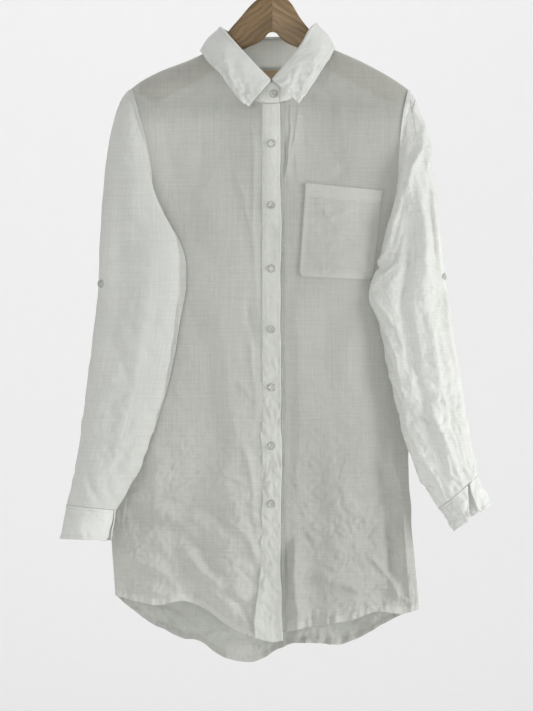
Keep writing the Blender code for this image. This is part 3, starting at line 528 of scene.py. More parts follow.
class Shader:
    """One material in the making: each method adds a node and returns its result."""

    def __init__(self, name):
        self.material = bpy.data.materials.new(name)
        self.material.use_nodes = True
        self.tree = self.material.node_tree
        self.tree.nodes.clear()
        self.out = self.tree.nodes.new("ShaderNodeOutputMaterial")

    def add(self, kind, result=0, **inputs):
        """Add a node. Its inputs are set by socket name or number, with a value or another node's result."""
        made = self.tree.nodes.new("ShaderNode" + kind)
        for name, value in inputs.items():
            if name.startswith("set_"):
                setattr(made, name[4:], value)
                continue
            socket = made.inputs[int(name[1:]) if name[1:].isdigit() else name.replace("_", " ")]
            if isinstance(value, Value):
                self.tree.links.new(value.socket, socket)
            else:
                socket.default_value = value
        return Value(self, made.outputs[result])

    def maths(self, operation, a, b=0.0):
        return self.add("Math", set_operation=operation, i0=a, i1=b)

    def plan(self):
        """The piece's own map in metres."""
        return self.add("UVMap", "UV", set_uv_map="UVMap")

    def place(self):
        return self.add("TexCoord", "Object")

    def noise(self, source, scale, detail=2.0, rough=0.5):
        """Noise read at places multiplied by three scales, so that it is stretched into streaks."""
        place = self.add("VectorMath", set_operation="MULTIPLY", i0=source, i1=scale)
        return self.add("TexNoise", "Fac", Vector=place, Scale=1.0, Detail=detail, Roughness=rough)

    def scaled(self, colour, by):
        """A colour made lighter or darker."""
        return self.add("VectorMath", set_operation="SCALE", i0=colour, Scale=by)

    def ramp(self, value, *stops):
        """Colours blended by a value, from two stops of place and colour."""
        made = self.add("ValToRGB", "Color", Fac=value)
        for element, (at, colour) in zip(made.socket.node.color_ramp.elements, stops):
            element.position, element.color = at, (*colour, 1)
        return made

    def bump(self, height, distance=1.0, strength=1.0):
        return self.add("Bump", "Normal", Height=height, Distance=distance, Strength=strength)

    def finish(self, surface=None, **inputs):
        """Send a surface, or a plain one with these inputs, to the material's output."""
        surface = surface or self.add("BsdfPrincipled", **inputs)
        self.tree.links.new(surface.socket, self.out.inputs["Surface"])
        return self.material


def linen(name, colour, cover, glow, crinkle=0.0006, contrast=0.16, fine_crinkle=0.3, painted_shade_at=None,
          sharp=0.0019, above=0.22, dark=0.45, painted_light_front_colour=None):
    """Woven linen. cover is how much of the light one layer stops, and glow the share that passes as a
    soft glow instead of bouncing back. painted_shade_at is the height of a streaky band of painted shade
    along a seam, if there is one, and dark the tone of that painted shade. above is the share of the sharp
    crumples that the upper part has. painted_light_front_colour is the tone in front of the hanger, where
    it differs: behind it the colour is painted lighter, as painted light inside the neck."""
    s = Shader(name)
    plan = s.plan()
    warp = s.noise(plan, (520.0, 9.0, 1.0), 3.0, 0.6)
    weft = s.noise(plan, (12.0, 560.0, 1.0), 3.0, 0.6)
    fine = s.noise(plan, (1250.0, 40.0, 1.0), 1.0) + s.noise(plan, (40.0, 1250.0, 1.0), 1.0)
    weave = (warp + weft + fine * 0.6).to(1.15, 2.05, 0.0, 1.0)
    cloud = s.noise(plan, (9.0, 7.0, 1.0), 4.0, 0.6)
    weave_tone_and_painted_shade = weave.to(0.0, 1.0, 1 - contrast, 1 + contrast * 0.45) + cloud.to(0.3, 0.7, -0.05, 0.05)
    height = s.add("SeparateXYZ", 1, Vector=plan)
    # A streaky band of painted shade along the seam: the colour is darkened there.
    if painted_shade_at is not None:
        away = s.maths("ABSOLUTE", height - painted_shade_at)
        reach = s.noise(plan, (60.0, 260.0, 1.0), 3.0, 0.7) * 0.030
        weave_tone_and_painted_shade = weave_tone_and_painted_shade * (away - reach).to(-0.018, 0.010, dark, 1.0)
    # Painted light: the colour is lighter further back, in the shaded inside of the neck, than in front.
    if painted_light_front_colour is not None:
        depth = s.add("SeparateXYZ", 1, Vector=s.place())
        colour = s.add("Mix", 2, set_data_type="RGBA", i0=depth.to(-0.045, -0.010, 0.0, 1.0),
                       i6=(*painted_light_front_colour, 1.0), i7=(*colour, 1.0))
    tint = s.scaled(colour, weave_tone_and_painted_shade)
    ply = s.add("Attribute", "Fac", set_attribute_name="ply")
    open_weave = weave.to(0.0, 1.0, 1 - cover + 0.07, 1 - cover - 0.05)
    gap = s.maths("POWER", s.maths("MAXIMUM", open_weave, 0.01), ply)
    folds = s.noise(plan, (55.0, 40.0, 1.0), 4.0, 0.65)
    folds = folds + s.noise(plan, (170.0, 120.0, 1.0), 3.0, 0.6) * fine_crinkle
    bent = s.add("VectorMath", set_operation="MULTIPLY", i0=plan, i1=(46.0, 34.0, 1.0))
    ridges = {"set_noise_type": "RIDGED_MULTIFRACTAL", "Vector": bent}
    crests = s.add("TexNoise", "Fac", **ridges, Scale=1.0, Detail=3.0, Roughness=0.55, Lacunarity=2.2,
                   Distortion=0.6)
    tight = s.add("TexNoise", "Fac", **ridges, Scale=2.7, Detail=2.0, Roughness=0.6, Lacunarity=2.0,
                  Distortion=0.4)
    crests = (crests + tight * 0.45) * height.to(-0.86, -0.56, 1.0, above) * sharp
    bump = s.bump(weave * 0.00012 + folds * crinkle + crests)
    body = s.add("BsdfPrincipled", Base_Color=tint, Roughness=0.88, Normal=bump, Specular_IOR_Level=0.22,
                 Sheen_Weight=0.18, Sheen_Roughness=0.5)
    through = s.add("BsdfTranslucent", Color=tint, Normal=bump)
    matt = s.add("MixShader", Fac=glow, i1=body, i2=through)
    return s.finish(s.add("MixShader", Fac=gap, i1=matt, i2=s.add("BsdfTransparent")))


# The fronts get a streaky band of painted shade along the yoke seam.
SHEER = {"cover": 0.78, "glow": 0.26, "crinkle": 0.0009, "contrast": 0.065, "painted_shade_at": SEAM_PAINTED_SHADE_Z}
# The wearer's right front: its tone is painted lighter than the left front's, as painted light on the side
# the key lamp misses.
RIGHT_PANEL_PAINTED_LIGHTER = linen("linen", (0.638, 0.647, 0.604), dark=0.86, **SHEER)
# The wearer's left front and its under band: their tone is painted darker, as painted shade that evens out
# the key lamp on that side.
LEFT_PANEL_PAINTED_DARKER = linen("linen_left_painted_darker", (0.545, 0.554, 0.514), dark=0.91, **SHEER)
# The back's tone is painted darker: painted shade for its inside, seen below the front hem.
REAR_PAINTED_SHADE = linen("linen_rear_painted_shade", (0.470, 0.480, 0.442), 0.92, 0.20, crinkle=0.0010, contrast=0.08,
             painted_shade_at=SEAM_PAINTED_SHADE_Z, sharp=0.0048, dark=0.74)
SLEEVE = linen("linen_sleeve", (0.700, 0.710, 0.678), 0.88, 0.26, crinkle=0.0008, contrast=0.045,
               fine_crinkle=0.6)
# The wearer's left sleeve: more creases, and its tone is painted lighter, as painted light from the key
# lamp's side.
CREASED_PAINTED_LIGHTER = linen("linen_sleeve_creased_painted_lighter", (0.765, 0.775, 0.742), 0.88, 0.26, crinkle=0.0016, contrast=0.045,
                fine_crinkle=1.0, sharp=0.0042, above=0.8)
# The yoke's tone is painted darker, as painted shade between its two layers, and it has the band at its seam.
YOKE_CLOTH_PAINTED_SHADE = linen("linen_yoke_painted_shade", (0.625, 0.635, 0.594), 0.92, 0.20, crinkle=0.0010, contrast=0.24,
                   painted_shade_at=SEAM_PAINTED_SHADE_Z, dark=0.70)
# The stand's tone is painted light: pale enough that its shaded inside reads bright, and darker in front.
STAND_CLOTH_PAINTED_LIGHT = linen("linen_stand_painted_light", (0.930, 0.940, 0.910), 0.92, 0.42, contrast=0.08,
                    painted_light_front_colour=(0.86, 0.87, 0.83))
DOUBLE = linen("linen_double", (0.700, 0.712, 0.682), 0.95, 0.16, crinkle=0.0010, contrast=0.05, above=0.6)
CUFF = linen("linen_cuff", (0.745, 0.756, 0.726), 0.95, 0.20, crinkle=0.0010, contrast=0.05)
BAND = linen("linen_band", (0.625, 0.636, 0.600), 0.94, 0.18, crinkle=0.0011, contrast=0.05)
PATCH = linen("linen_pocket", (0.525, 0.536, 0.497), 0.90, 0.20, crinkle=0.0009, contrast=0.06)
CLOTHS = (RIGHT_PANEL_PAINTED_LIGHTER, LEFT_PANEL_PAINTED_DARKER, REAR_PAINTED_SHADE, YOKE_CLOTH_PAINTED_SHADE, SLEEVE, CREASED_PAINTED_LIGHTER, STAND_CLOTH_PAINTED_LIGHT, DOUBLE, CUFF, BAND, PATCH)
print("cloth materials:", [made.name for made in CLOTHS])

# %% [markdown]
# ## The body's surface
# The empty body is a flat lens: deepest down the middle, pinched at the side seams, and domed over the
# hanger's arms at the shoulders. It is a height over the front view, so front and back are two functions.

# %% Body surface


def body_depth(x, z, front):
    """How far a layer stands from the hanger's plane: lens across, dome over shoulders, neck and folds."""
    right = spline(BODY, 1, z)
    left = spline(BODY, 2, z)
    depth = spline(BODY, 4 if front else 5, z)
    s = np.clip((x - (right + left) / 2) / ((left - right) / 2), -1.0, 1.0)
    lens = np.sqrt(np.clip(1 - s * s, 0.0, 1.0))
    share = mix(1.0, lens, smooth(-0.270, -0.430, z))
    below = np.clip((spline(RIDGE, 1, x) - z) / RIDGE_ROUNDING, 0.0, 1.0)
    dome = np.sqrt(np.clip(1 - (1 - below) ** 2, 0.0, 1.0))
    neck_z = NECK_FRONT_Z if front else NECK_BACK_Z
    neck = 0.020 * bell(x, NECK_CENTRE_X, 0.048) * bell(z, neck_z, 0.12) * smooth(0.0, 0.5, below)
    away = spline(BODY, 3, z) * np.abs(s) ** 4
    folds = np.zeros_like(s)
    for fold_x, width, front_fold, back_fold, top_z in BODY_FOLDS:
        size = front_fold if front else back_fold
        folds = folds + size * bell(x, fold_x, width) * smooth(top_z, top_z - 0.30, z) * lens
    return depth * share * dome + neck + folds + (-away if front else away)


def front_y(x, z):
    return -GAP / 2 - body_depth(x, z, True)


def back_y(x, z):
    return GAP / 2 + body_depth(x, z, False)


def under_drop(x, z):
    """The wearer's left front passes under the band, so it lies a little deeper at the centre, but not at
    the shoulder seam."""
    return LAP_DROP * bell(x, 0.0, 0.10) * smooth(0.0, 0.030, spline(RIDGE, 1, x) - z)


def lapped_y(x, z, side):
    """The front's y on either side of the closure."""
    return front_y(x, z) + (0.0 if side < 0 else under_drop(x, z))


def edge_x(z, side, front):
    """Armhole edge above the underarm, side seam below it."""
    column = (1 if side < 0 else 2) + (0 if front else 2)
    seam = spline(BODY, 1 if side < 0 else 2, z)
    return np.where(z > UNDERARM_Z, spline(ARMHOLE, column, z), seam)


def neck_side(side):
    x = NECK_CENTRE_X + side * NECK_HALF_WIDTH
    return x, spline(RIDGE, 1, x)


def neck_height(x, front):
    """Height of the neck seam: half an oval from the shoulder line down to its lowest place."""
    share = np.clip((x - NECK_CENTRE_X) / NECK_HALF_WIDTH, -1.0, 1.0)
    side_z = np.where(share < 0, neck_side(-1)[1], neck_side(1)[1])
    low = NECK_FRONT_Z if front else NECK_BACK_Z
    return side_z + (low - side_z) * np.sqrt(1 - share ** 2)


def shoulder_end(side, front):
    """The x where the armhole's edge meets the shoulder line."""
    x = edge_x(np.array(ARMHOLE[0][0]), side, front)
    for _ in range(4):
        x = edge_x(spline(RIDGE, 1, x), side, front)
    return x


def top_edge(u, side, centre_x, front):
    """Shoulder seam from the armhole to the neck in the first half, then the neck seam to the centre."""
    shoulder_x = shoulder_end(side, front)
    neck_x = neck_side(side)[0]
    x_neck = mix(neck_x, centre_x, np.clip((u - 0.5) * 2, 0.0, 1.0) ** 1.1)
    x = np.where(u < 0.5 + 1e-9, mix(shoulder_x, neck_x, np.clip(u * 2, 0.0, 1.0)), x_neck)
    z = np.where(u < 0.5 + 1e-9, spline(RIDGE, 1, x), neck_height(x, front))
    return x, z


def outline_top(x, z, front):
    """Keep heights at or below the shoulder line, and below the neck seam inside the neck."""
    inside = np.abs(x - NECK_CENTRE_X) < NECK_HALF_WIDTH
    return np.minimum(z, np.where(inside, neck_height(x, front), spline(RIDGE, 1, x)))


def start_line(half, top_z, neck_z):
    """Where the rows start: the shoulder line, carried on level from the neck's side to the middle."""
    return np.where(half < 0.5, top_z, neck_z)


print("front and back at the waist, mm:", np.round([front_y(0.0, -0.6) * 1e3, back_y(0.0, -0.6) * 1e3], 1))

# %% [markdown]
# ## Folds of this dress
# These are the creases that the dress really hangs with, each as a line, a width and a height: the soft
# drag lines from the hips to the hem, the upright folds by the side seam, and the fine puckers beside
# the button band. The back isn't seen in the photograph, so it gets folds of the same kind.

# %% Crease tables
RIGHT_FRONT_CREASES = chart("""from_x from_z to_x to_z width height bow*
-222.2 -827.4 -83.1 -892.7 18.5 -5 .1
-219.4 -872.8 -108.6 -946.7 14.2 4 .08
-188.1 -796.2 -51.8 -838.8 17 -3.5 .06
-162.6 -884.2 -37.6 -992.1 17 -4 -.05
-137 -855.8 -31.9 -941 14.2 3.5 -.06
-202.4 -919.7 -128.5 -941 8.5 2 0
-95.8 -884.2 -23.4 -958 9.9 -2.5 -.08
-67.4 -827.4 -20.6 -884.2 7.1 2 .1
-63.2 -941 -23.4 -992.1 7.1 1.8 0
-46.1 -713.8 -23.4 -827.4 8.5 1.8 .03
-34.8 -557.6 -23.4 -685.4 5.7 1.4 .02
-51.8 -628.6 -26.3 -657 4.3 1 0
-40.5 -515 -23.4 -586 5.7 -1.2 0
-29.1 -256.6 -23.4 -515 5.7 1.2 0
-54.7 -327.6 -31.9 -429.8 7.1 1 .03
-145.5 -259.4 -128.5 -429.8 31.2 -2 0
-95.8 -245.2 -83.1 -444 25.6 1.6 0
-117.1 -515 -81.6 -756.4 36.9 -3 .03
-71.7 -515 -51.8 -756.4 25.6 2 .02
-173.9 -713.8 -159.8 -827.4 17 2 0
-227.9 -884.2 -202.4 -958 8.5 -2 .1
-102.9 -919.7 -51.8 -972.2 5.7 1.6 .1
-83.1 -756.4 -31.9 -779.1 7.1 1.2 0
-216.5 -799 -173.9 -756.4 8.5 -1.6 0""")
LEFT_FRONT_CREASES = chart("""from_x from_z to_x to_z width height bow*
29 -855 33 -990 8.5 6.2 0
25.5 -235 16.5 -345 3 4.2 .03
188 -610 199 -830 4.5 2.6 .02
196 -740 206 -945 4 3 .02
186 -820 196 -950 3.6 2.4 0
36 -238 23 -315 3.4 2.4 .05
169.7 -713.8 186.7 -884.2 11.4 4 .02
154.1 -735.1 169.7 -926.8 12.8 -3.5 .02
186.7 -827.4 200.9 -958 7.1 2.5 0
135.6 -878.5 186.7 -949.5 7.1 2 .05
158.3 -850.1 199.5 -912.6 5.7 1.6 0
147 -924 203.8 -949.5 5.7 1.8 .08
17.7 -862.9 27.7 -980.8 7.1 -3 0
36.2 -827.4 152.7 -850.1 14.2 -1.8 .05
53.2 -905.5 141.3 -926.8 11.4 1.6 -.05
39 -941 112.9 -929.6 7.1 -1.2 .05
19.9 -236.7 23.4 -353.1 4.5 2 0
29.1 -236.7 34.8 -338.9 4.3 1.4 0
39 -242.4 47.6 -302 5.7 -1 0
81.6 -302 98.7 -344.6 19.9 -1.6 0
95.8 -231 112.9 -330.4 17 1.4 0
67.4 -515 87.3 -770.6 34.1 -2.6 .02
112.9 -515 127.1 -756.4 31.2 2.4 -.02
33.4 -515 37.6 -827.4 12.8 1.4 0
161.2 -515 178.2 -713.8 11.4 -2 0
110 -884.2 175.4 -884.2 8.5 1.2 .1
129.9 -941 169.7 -972.2 5.7 1.4 0""")
BACK_CREASES = chart("""from_x from_z to_x to_z width height bow*
-188.1 -515 -173.9 -997.8 28.4 -4 .02
-108.6 -373 -122.8 -1012 34.1 5 .02
-46.1 -316.2 -51.8 -997.8 22.7 -4 0
39 -316.2 46.1 -997.8 22.7 -4 0
110 -401.4 132.8 -997.8 31.2 4.5 -.02
175.4 -543.4 178.2 -969.4 19.9 -3.5 0
-173.9 -884.2 -60.3 -997.8 14.2 3 .08
39 -941 181 -884.2 12.8 -2.6 .06
-102.9 -770.6 -17.7 -827.4 17 2 .05
81.6 -756.4 166.8 -799 14.2 -2 .05
-148.4 -302 -102.9 -458.2 17 1.6 0
81.6 -302 53.2 -458.2 17 1.6 0
-74.5 -997.8 -14.9 -1009.2 8.5 2.2 .1
-173.9 -949.5 -108.6 -980.8 7.1 2 .1
24.8 -980.8 110 -997.8 8.5 1.8 .1""")
RIGHT_SLEEVE_CREASES = chart("""from_x from_z to_x to_z width height bow*
-219.4 -256.6 -233.6 -444 14.2 2.6 .02
-196.7 -259.4 -173.9 -429.8 12.8 -2.4 0
-239.3 -444 -250.6 -685.4 11.4 3 0
-216.5 -444 -205.2 -571.8 22.7 -3.4 .02
-159.8 -415.6 -137 -500.8 14.2 2.2 0
-239.3 -557.6 -171.1 -588.8 7.1 1.8 .12
-245 -588.8 -159.8 -640 8.5 -1.8 .1
-250.6 -654.2 -173.9 -685.4 8.5 1.6 .08
-256.3 -685.4 -267.7 -793.3 9.9 2 0
-227.9 -657 -239.3 -793.3 12.8 -2.2 0
-188.1 -628.6 -205.2 -770.6 9.9 2 .02
-159.8 -515 -173.9 -628.6 9.9 -1.8 0
-281.9 -796.2 -239.3 -807.5 4.3 1.6 .1
-256.3 -779.1 -219.4 -801.8 4.3 1.4 0
-227.9 -762.1 -208 -793.3 4.3 1.6 0
-205.2 -242.4 -193.8 -302 7.1 1.6 0
-139.9 -444 -122.8 -515 5.7 1.6 0
-179.6 -515 -122.8 -500.8 7.1 1.2 0
-145.5 -557.6 -128.5 -515 5.7 -1.4 0
-216.5 -373 -227.9 -515 17 -1.6 0""")
LEFT_SLEEVE_CREASES = chart("""from_x from_z to_x to_z width height bow*
216.5 -253.7 182.5 -378.7 6.4 5.5 .03
182.5 -378.7 139.9 -500.8 6.4 3.2 .02
219.4 -265.1 213.7 -373 5.7 3.4 .02
213.7 -373 229.3 -515 5.7 3.4 -.03
196.7 -302 161.2 -458.2 5.7 -3.2 .02
226.5 -347.4 237.9 -461 4.5 2.6 0
237.9 -461 254.9 -571.8 4.3 2.4 0
254.9 -571.8 274.8 -699.6 4.3 2.6 0
203.8 -392.9 183.9 -515 7.1 -4 .02
183.9 -515 195.3 -617.2 7.1 -3.4 -.02
141.3 -503.6 178.2 -461 4.3 2.4 .05
139.9 -510.7 175.4 -557.6 4.3 2.8 .06
148.4 -532 183.9 -625.8 4.3 2.6 .04
158.3 -578.9 189.6 -659.8 4.3 2.2 .03
169.7 -631.4 198.1 -713.8 4.3 2.2 .02
195.3 -515 215.1 -645.6 5.7 2.8 0
215.1 -645.6 254.9 -770.6 5.7 2.8 .02
232.2 -515 246.4 -642.8 4.8 -2.8 0
246.4 -642.8 274.8 -767.8 4.8 -2.6 0
223.6 -671.2 269.1 -779.1 3.7 2 .02
249.2 -699.6 283.3 -773.4 3.4 2 0
192.4 -699.6 223.6 -767.8 4.3 1.8 .03
209.4 -730.8 246.4 -799 3.7 1.8 .02
235 -756.4 274.8 -787.6 3.4 2.2 .1
254.9 -753.6 277.6 -784.8 2.8 2 0
289 -735.1 280.4 -782 3.1 1.8 0
200.9 -259.4 209.4 -302 4.3 1.8 0
169.7 -429.8 152.7 -469.6 3.7 2 0
186.7 -412.8 169.7 -469.6 3.7 -2 0
237.9 -515 226.5 -571.8 3.4 1.6 0""")
POCKET_CREASES = chart("""from_x from_z to_x to_z width height bow*
64.6 -380.1 81.6 -404.2 5.7 1.2 .1
81.6 -404.2 110 -387.2 5.7 1.2 .1
95.8 -395.7 141.3 -409.9 4.3 .9 .1
56.1 -408.5 112.9 -438.3 8.5 -1.2 0
102.9 -424.1 149.8 -461 11.4 -1.6 .05
47.6 -452.5 95.8 -461 7.1 .9 0
112.9 -451.1 144.1 -480.9 7.1 1 0
61.8 -472.4 132.8 -475.2 4.3 .8 .05""")
COLLAR_CREASES = chart("""from_x from_z to_x to_z width height bow*
-76 -156 -56 -220 6 1.4 .05
-62 -198 -39 -238 4 1.8 .08
-56 -180 -33 -225 5 -1.4 0
70 -156 50 -215 6 1.4 -.05
56 -195 39 -233 4 1.8 -.08
45 -178 30 -220 5 -1.4 0""")
print("hand-placed creases:", sum(len(t) for t in (RIGHT_FRONT_CREASES, LEFT_FRONT_CREASES, BACK_CREASES,
                                                    RIGHT_SLEEVE_CREASES, LEFT_SLEEVE_CREASES)))

# %% [markdown]
# ## Front panels
# Each front is one grid from the armhole and side seam to the closure, and from the shoulder to the hem.
# Its relief is laid on afterwards: nothing at the seams, where stitching holds it, and most near the
# hem. The last few millimetres are the turned hem, three layers thick and gathered by its stitching.

# %% Front panels
HEM = 0.009


def hem_relief(x, to_hem, seed):
    """A raised hem with small gathers that fade upwards from its stitch line."""
    step = 0.0005 * smooth(HEM + 0.001, HEM - 0.001, to_hem)
    tight = 1.0 + 1.5 * bell(x, 0.062, 0.045)
    gather = waver(x / 0.0052, to_hem / 0.02, seed, 0.0042) * tight
    gather = gather + waver(x / 0.012, 0.0, seed + 1, 0.0014)
    return step + gather * smooth(0.030, 0.006, to_hem)


def hem_ply(to_hem):
    return 1.0 + 2.0 * smooth(HEM + 0.001, HEM - 0.001, to_hem)


def relief(x, z, table, seed, inside):
    """Listed creases and three sizes of crumple; inside is 0 at the sewn edges and 1 away from them."""
    low = smooth(-0.60, -0.88, z)
    rough = crumple(x, z * 0.8, 0.055, seed) * mix(0.0014, 0.0024, low)
    middle = crumple(x + z * 0.3, z, 0.022, seed + 1) * mix(0.0006, 0.0022, low)
    small = crumple(x, z, 0.009, seed + 2) * mix(0.0003, 0.0034, low)
    placed = creases(x, z, table) * mix(mix(0.25, 0.75, low), 1.0, inside) * mix(1.15, 2.5, low)
    return placed + (rough + middle + small) * inside


def side_sway(z, side):
    """Small waver of the side seam, shared by front and back."""
    return waver(z / 0.030, 2.0 + side, 21, 0.0026) * smooth(UNDERARM_Z, UNDERARM_Z - 0.05, z)


def front_panel(side, rows, columns):
    right = side < 0
    centre_x = OVER_SEAM_X + 0.003 if right else UNDER_SEAM_X - 0.003
    hem = FRONT_HEM if right else FRONT_HEM_LEFT
    u, v = net(rows, columns)
    top_x, top_z = top_edge(u, side, centre_x, True)
    side_x = spline(BODY, 1 if right else 2, np.array(SIDE_HEM_Z))
    hem_z = spline(hem, 1, mix(side_x, centre_x, 1 - np.cos(u * math.pi / 2)))
    z = mix(start_line(u, top_z, neck_side(side)[1]), hem_z, v)
    edge_z = mix(top_z[0, 0], hem_z[0, 0], v)
    spread = mix((top_x - top_x[0, 0]) / (top_x[0, -1] - top_x[0, 0]),
                 1 - np.cos(u * math.pi / 2), smooth(0.30, 0.42, v))
    x = mix(edge_x(edge_z, side, True), centre_x, spread)
    x = x + side_sway(z, side) * (1 - u) ** 3
    z = outline_top(x, z, True)
    from_edge = np.abs(x - edge_x(edge_z, side, True))
    inside = smooth(0.0, SEWN_FADE, from_edge) * smooth(0.0, SEWN_FADE, top_z - z)
    inside = inside * mix(0.45, 1.0, smooth(0.0, 0.020, np.abs(centre_x - x)))
    out = relief(x, z, RIGHT_FRONT_CREASES if right else LEFT_FRONT_CREASES, 40 + side, inside)
    upright = smooth(0.055, 0.012, from_edge) * smooth(0.0, 0.004, from_edge) * smooth(-0.70, -0.84, z)
    out = out + (crumple(x, z * 0.40, 0.011, 46 + side) + 0.4) * 0.0075 * upright
    to_hem = z - hem_z
    out = out + hem_relief(x, to_hem, 60 + side) * smooth(0.0, 0.010, from_edge)
    y = lapped_y(x, z, side) - out
    near = smooth(0.03, 0.0, to_hem) * smooth(0.0, 0.01, from_edge)
    wave = waver(x / 0.012, 0.0, 71, 0.0016) * near
    points = xyz(x, y, z + wave)
    if not right:
        points, to_hem = points[:, ::-1], to_hem[:, ::-1]
    return points, hem_ply(to_hem)


RIGHT_FRONT = hang("front_right_cloth", *front_panel(-1, 420, 126), "front_right", RIGHT_PANEL_PAINTED_LIGHTER,
                   (0.240, 0.870), 0.79, "flat")
LEFT_FRONT = hang("front_left_cloth", *front_panel(1, 420, 118), "front_left", LEFT_PANEL_PAINTED_DARKER,
                  (0.225, 0.860), 0.79, "flat")

# %% [markdown]
# ## Yoke and back
# The yoke is two layers of linen across the shoulders, so it shows through the front as a darker band
# that ends at its seam; the fronts, the yoke and the back also carry a streaky band of painted shade along
# that seam. The back hangs from the yoke, longer than the front, with its hem folded up the same way.

# %% Yoke and back


def yoke_panel(rows, columns):
    u, v = net(rows, columns)
    v = v ** 1.6
    half = np.where(u < 0.5, u * 2, (1 - u) * 2)
    right_x, right_z = top_edge(half, -1, NECK_CENTRE_X, False)
    left_x, left_z = top_edge(half, 1, NECK_CENTRE_X, False)
    top_x = np.where(u < 0.5, right_x, left_x)
    top_z = np.where(u < 0.5, right_z, left_z)
    low_x = mix(edge_x(np.array(YOKE_SEAM_Z), -1, False), edge_x(np.array(YOKE_SEAM_Z), 1, False), u)
    z = mix(start_line(half, top_z, mix(neck_side(-1)[1], neck_side(1)[1], u)), YOKE_SEAM_Z, v)
    x = mix(top_x, low_x, smooth(0.0, 1.0, v))
    right = edge_x(mix(top_z[0, 0], YOKE_SEAM_Z, v), -1, False)
    left = edge_x(mix(top_z[0, -1], YOKE_SEAM_Z, v), 1, False)
    x = x + (right - x[:, :1]) * (1 - u) ** 2 + (left - x[:, -1:]) * u ** 2
    z = outline_top(x, z, False)
    inside = smooth(0.0, 0.02, top_z - z) * smooth(0.0, 0.02, np.minimum(x - right, left - x))
    out = crumple(x, z, 0.03, 77) * 0.0011 * inside * smooth(0.0, 0.3, 1 - v)
    return xyz(x, back_y(x, z) + out, z)


def back_panel(rows, columns):
    u, v = net(rows, columns)
    round_share = (1 - np.cos(u * math.pi)) / 2
    hem_x = mix(spline(BODY, 1, np.array(SIDE_HEM_Z)), spline(BODY, 2, np.array(SIDE_HEM_Z)), round_share)
    hem_z = spline(BACK_HEM, 1, hem_x)
    top_z = YOKE_SEAM_Z - GAP
    z = mix(top_z, hem_z, v)
    right = edge_x(z[:, :1], -1, False)
    left = edge_x(z[:, -1:], 1, False)
    x = mix(right, left, mix(u, round_share, smooth(0.0, 0.28, v)))
    x = x + side_sway(z, -1) * (1 - u) ** 6 + side_sway(z, 1) * u ** 6
    from_edge = np.minimum(x - right, left - x)
    inside = smooth(0.0, SEWN_FADE, from_edge) * smooth(0.0, SEWN_FADE, top_z - z)
    out = relief(x, z, BACK_CREASES, 90, inside)
    to_hem = z - hem_z
    out = out + hem_relief(x, to_hem, 93) * smooth(0.0, 0.010, from_edge)
    near = smooth(0.04, 0.0, to_hem) * smooth(0.0, 0.01, from_edge)
    wave = waver(x / 0.014, 0.0, 95, 0.0030) * near
    points = xyz(x, back_y(x, z) + out, z + wave)
    return points, hem_ply(to_hem)


hang("yoke_cloth", yoke_panel(44, 150), 2.0, "yoke", YOKE_CLOTH_PAINTED_SHADE, (0.405, 0.092), 0.73, "flat", front=False)
BACK = hang("back_cloth", *back_panel(380, 220), "back", REAR_PAINTED_SHADE, (0.480, 0.810), 0.84, "flat", front=False)

# %% [markdown]
# ## Button bands
# The wearer's right band laps over the left one. Each is a strip folded double and topstitched close to
# both edges, so its middle swells slightly between the two stitch lines and its edges pucker.

# %% Bands


def normals(points, closed=False):
    """Unit normals of a grid, from the cross product of its row and column steps."""
    if closed:
        wide = np.concatenate([points[:, -1:], points, points[:, :1]], axis=1)
        across = (wide[:, 2:] - wide[:, :-2]) / 2
    else:
        across = np.gradient(points, axis=1)
    out = np.cross(across, np.gradient(points, axis=0))
    return unit(out)


def band_swell(u, width, z, seed, over):
    """Height of a stitched band: low on both stitch lines, puckered along them."""
    from_edge = np.minimum(u, 1 - u) * width
    line = bell(from_edge, 0.0035, 0.0012)
    pucker = waver(z / 0.006, u * 1.5, seed, 0.0009)
    wide = waver(z / 0.022, u * 2.0, seed + 1, 0.0012)
    flat = 1.0
    for button_z in BAND_BUTTONS_Z:
        flat = flat * (1.0 - bell(z, button_z, 0.011))
    rumpled = mix(0.0004, 0.0028, smooth(-0.52, -0.66, z)) * over * flat
    wide = wide + crumple(u * width * 1.6 + z * 0.4, z * 0.7, 0.011, seed + 2) * rumpled
    return 0.0004 * (1 - line) + pucker + wide


def band_panel(over, rows, columns):
    u, v = net(rows, columns)
    first, last = (OVER_SEAM_X + GAP, OVER_FREE_X) if over else (UNDER_HIDDEN_X, UNDER_SEAM_X - GAP)
    bottom = smooth(0.80, 0.995, v)
    x = mix(first - 0.0125 * bottom * over, last + 0.003 * bottom * over, u)
    x = x + waver(v * 22, 0.0, 5 + over, 0.0034) * (u if over else 1 - u)
    x = x + waver(v * 34, 0.0, 15 + over, 0.0048) * (1 - u) * smooth(0.42, 0.60, v) * over
    z = mix(neck_height(x, True), spline(FRONT_HEM if over else FRONT_HEM_LEFT, 1, x), v)
    y = front_y(x, z) - 0.0003 + (0.0 if over else LAP_DROP)
    out = band_swell(u, last - first, z, 31 + over, over)
    flare = 0.006 * smooth(-0.880, -0.985, z) * (1 - u) ** 2 if over else 0.0
    return xyz(x, y - out - flare, z)


OVER_BAND = hang("placket_over_cloth", band_panel(1, 420, 18), 2.0, "placket_over", BAND,
                 (0.030, 0.775), 0.98, thick=0.0011)
UNDER_BAND = hang("placket_under_cloth", band_panel(0, 320, 16), 0.5, "placket_under", LEFT_PANEL_PAINTED_DARKER,
                  (0.0325, 0.760), 0.98, thick=0.0009)

# %% [markdown]
# ## Collar
# A shirt collar has two parts. The stand is a low upright strip sewn into the neck seam. The leaf starts
# on the stand's top edge, rolls over it and falls outwards to two points. Nothing holds its free edge, so
# the washed linen curls and crinkles there most.

# %% Collar


def collar_fold(angle):
    return splines(COLLAR, (1, 2, 3), angle)


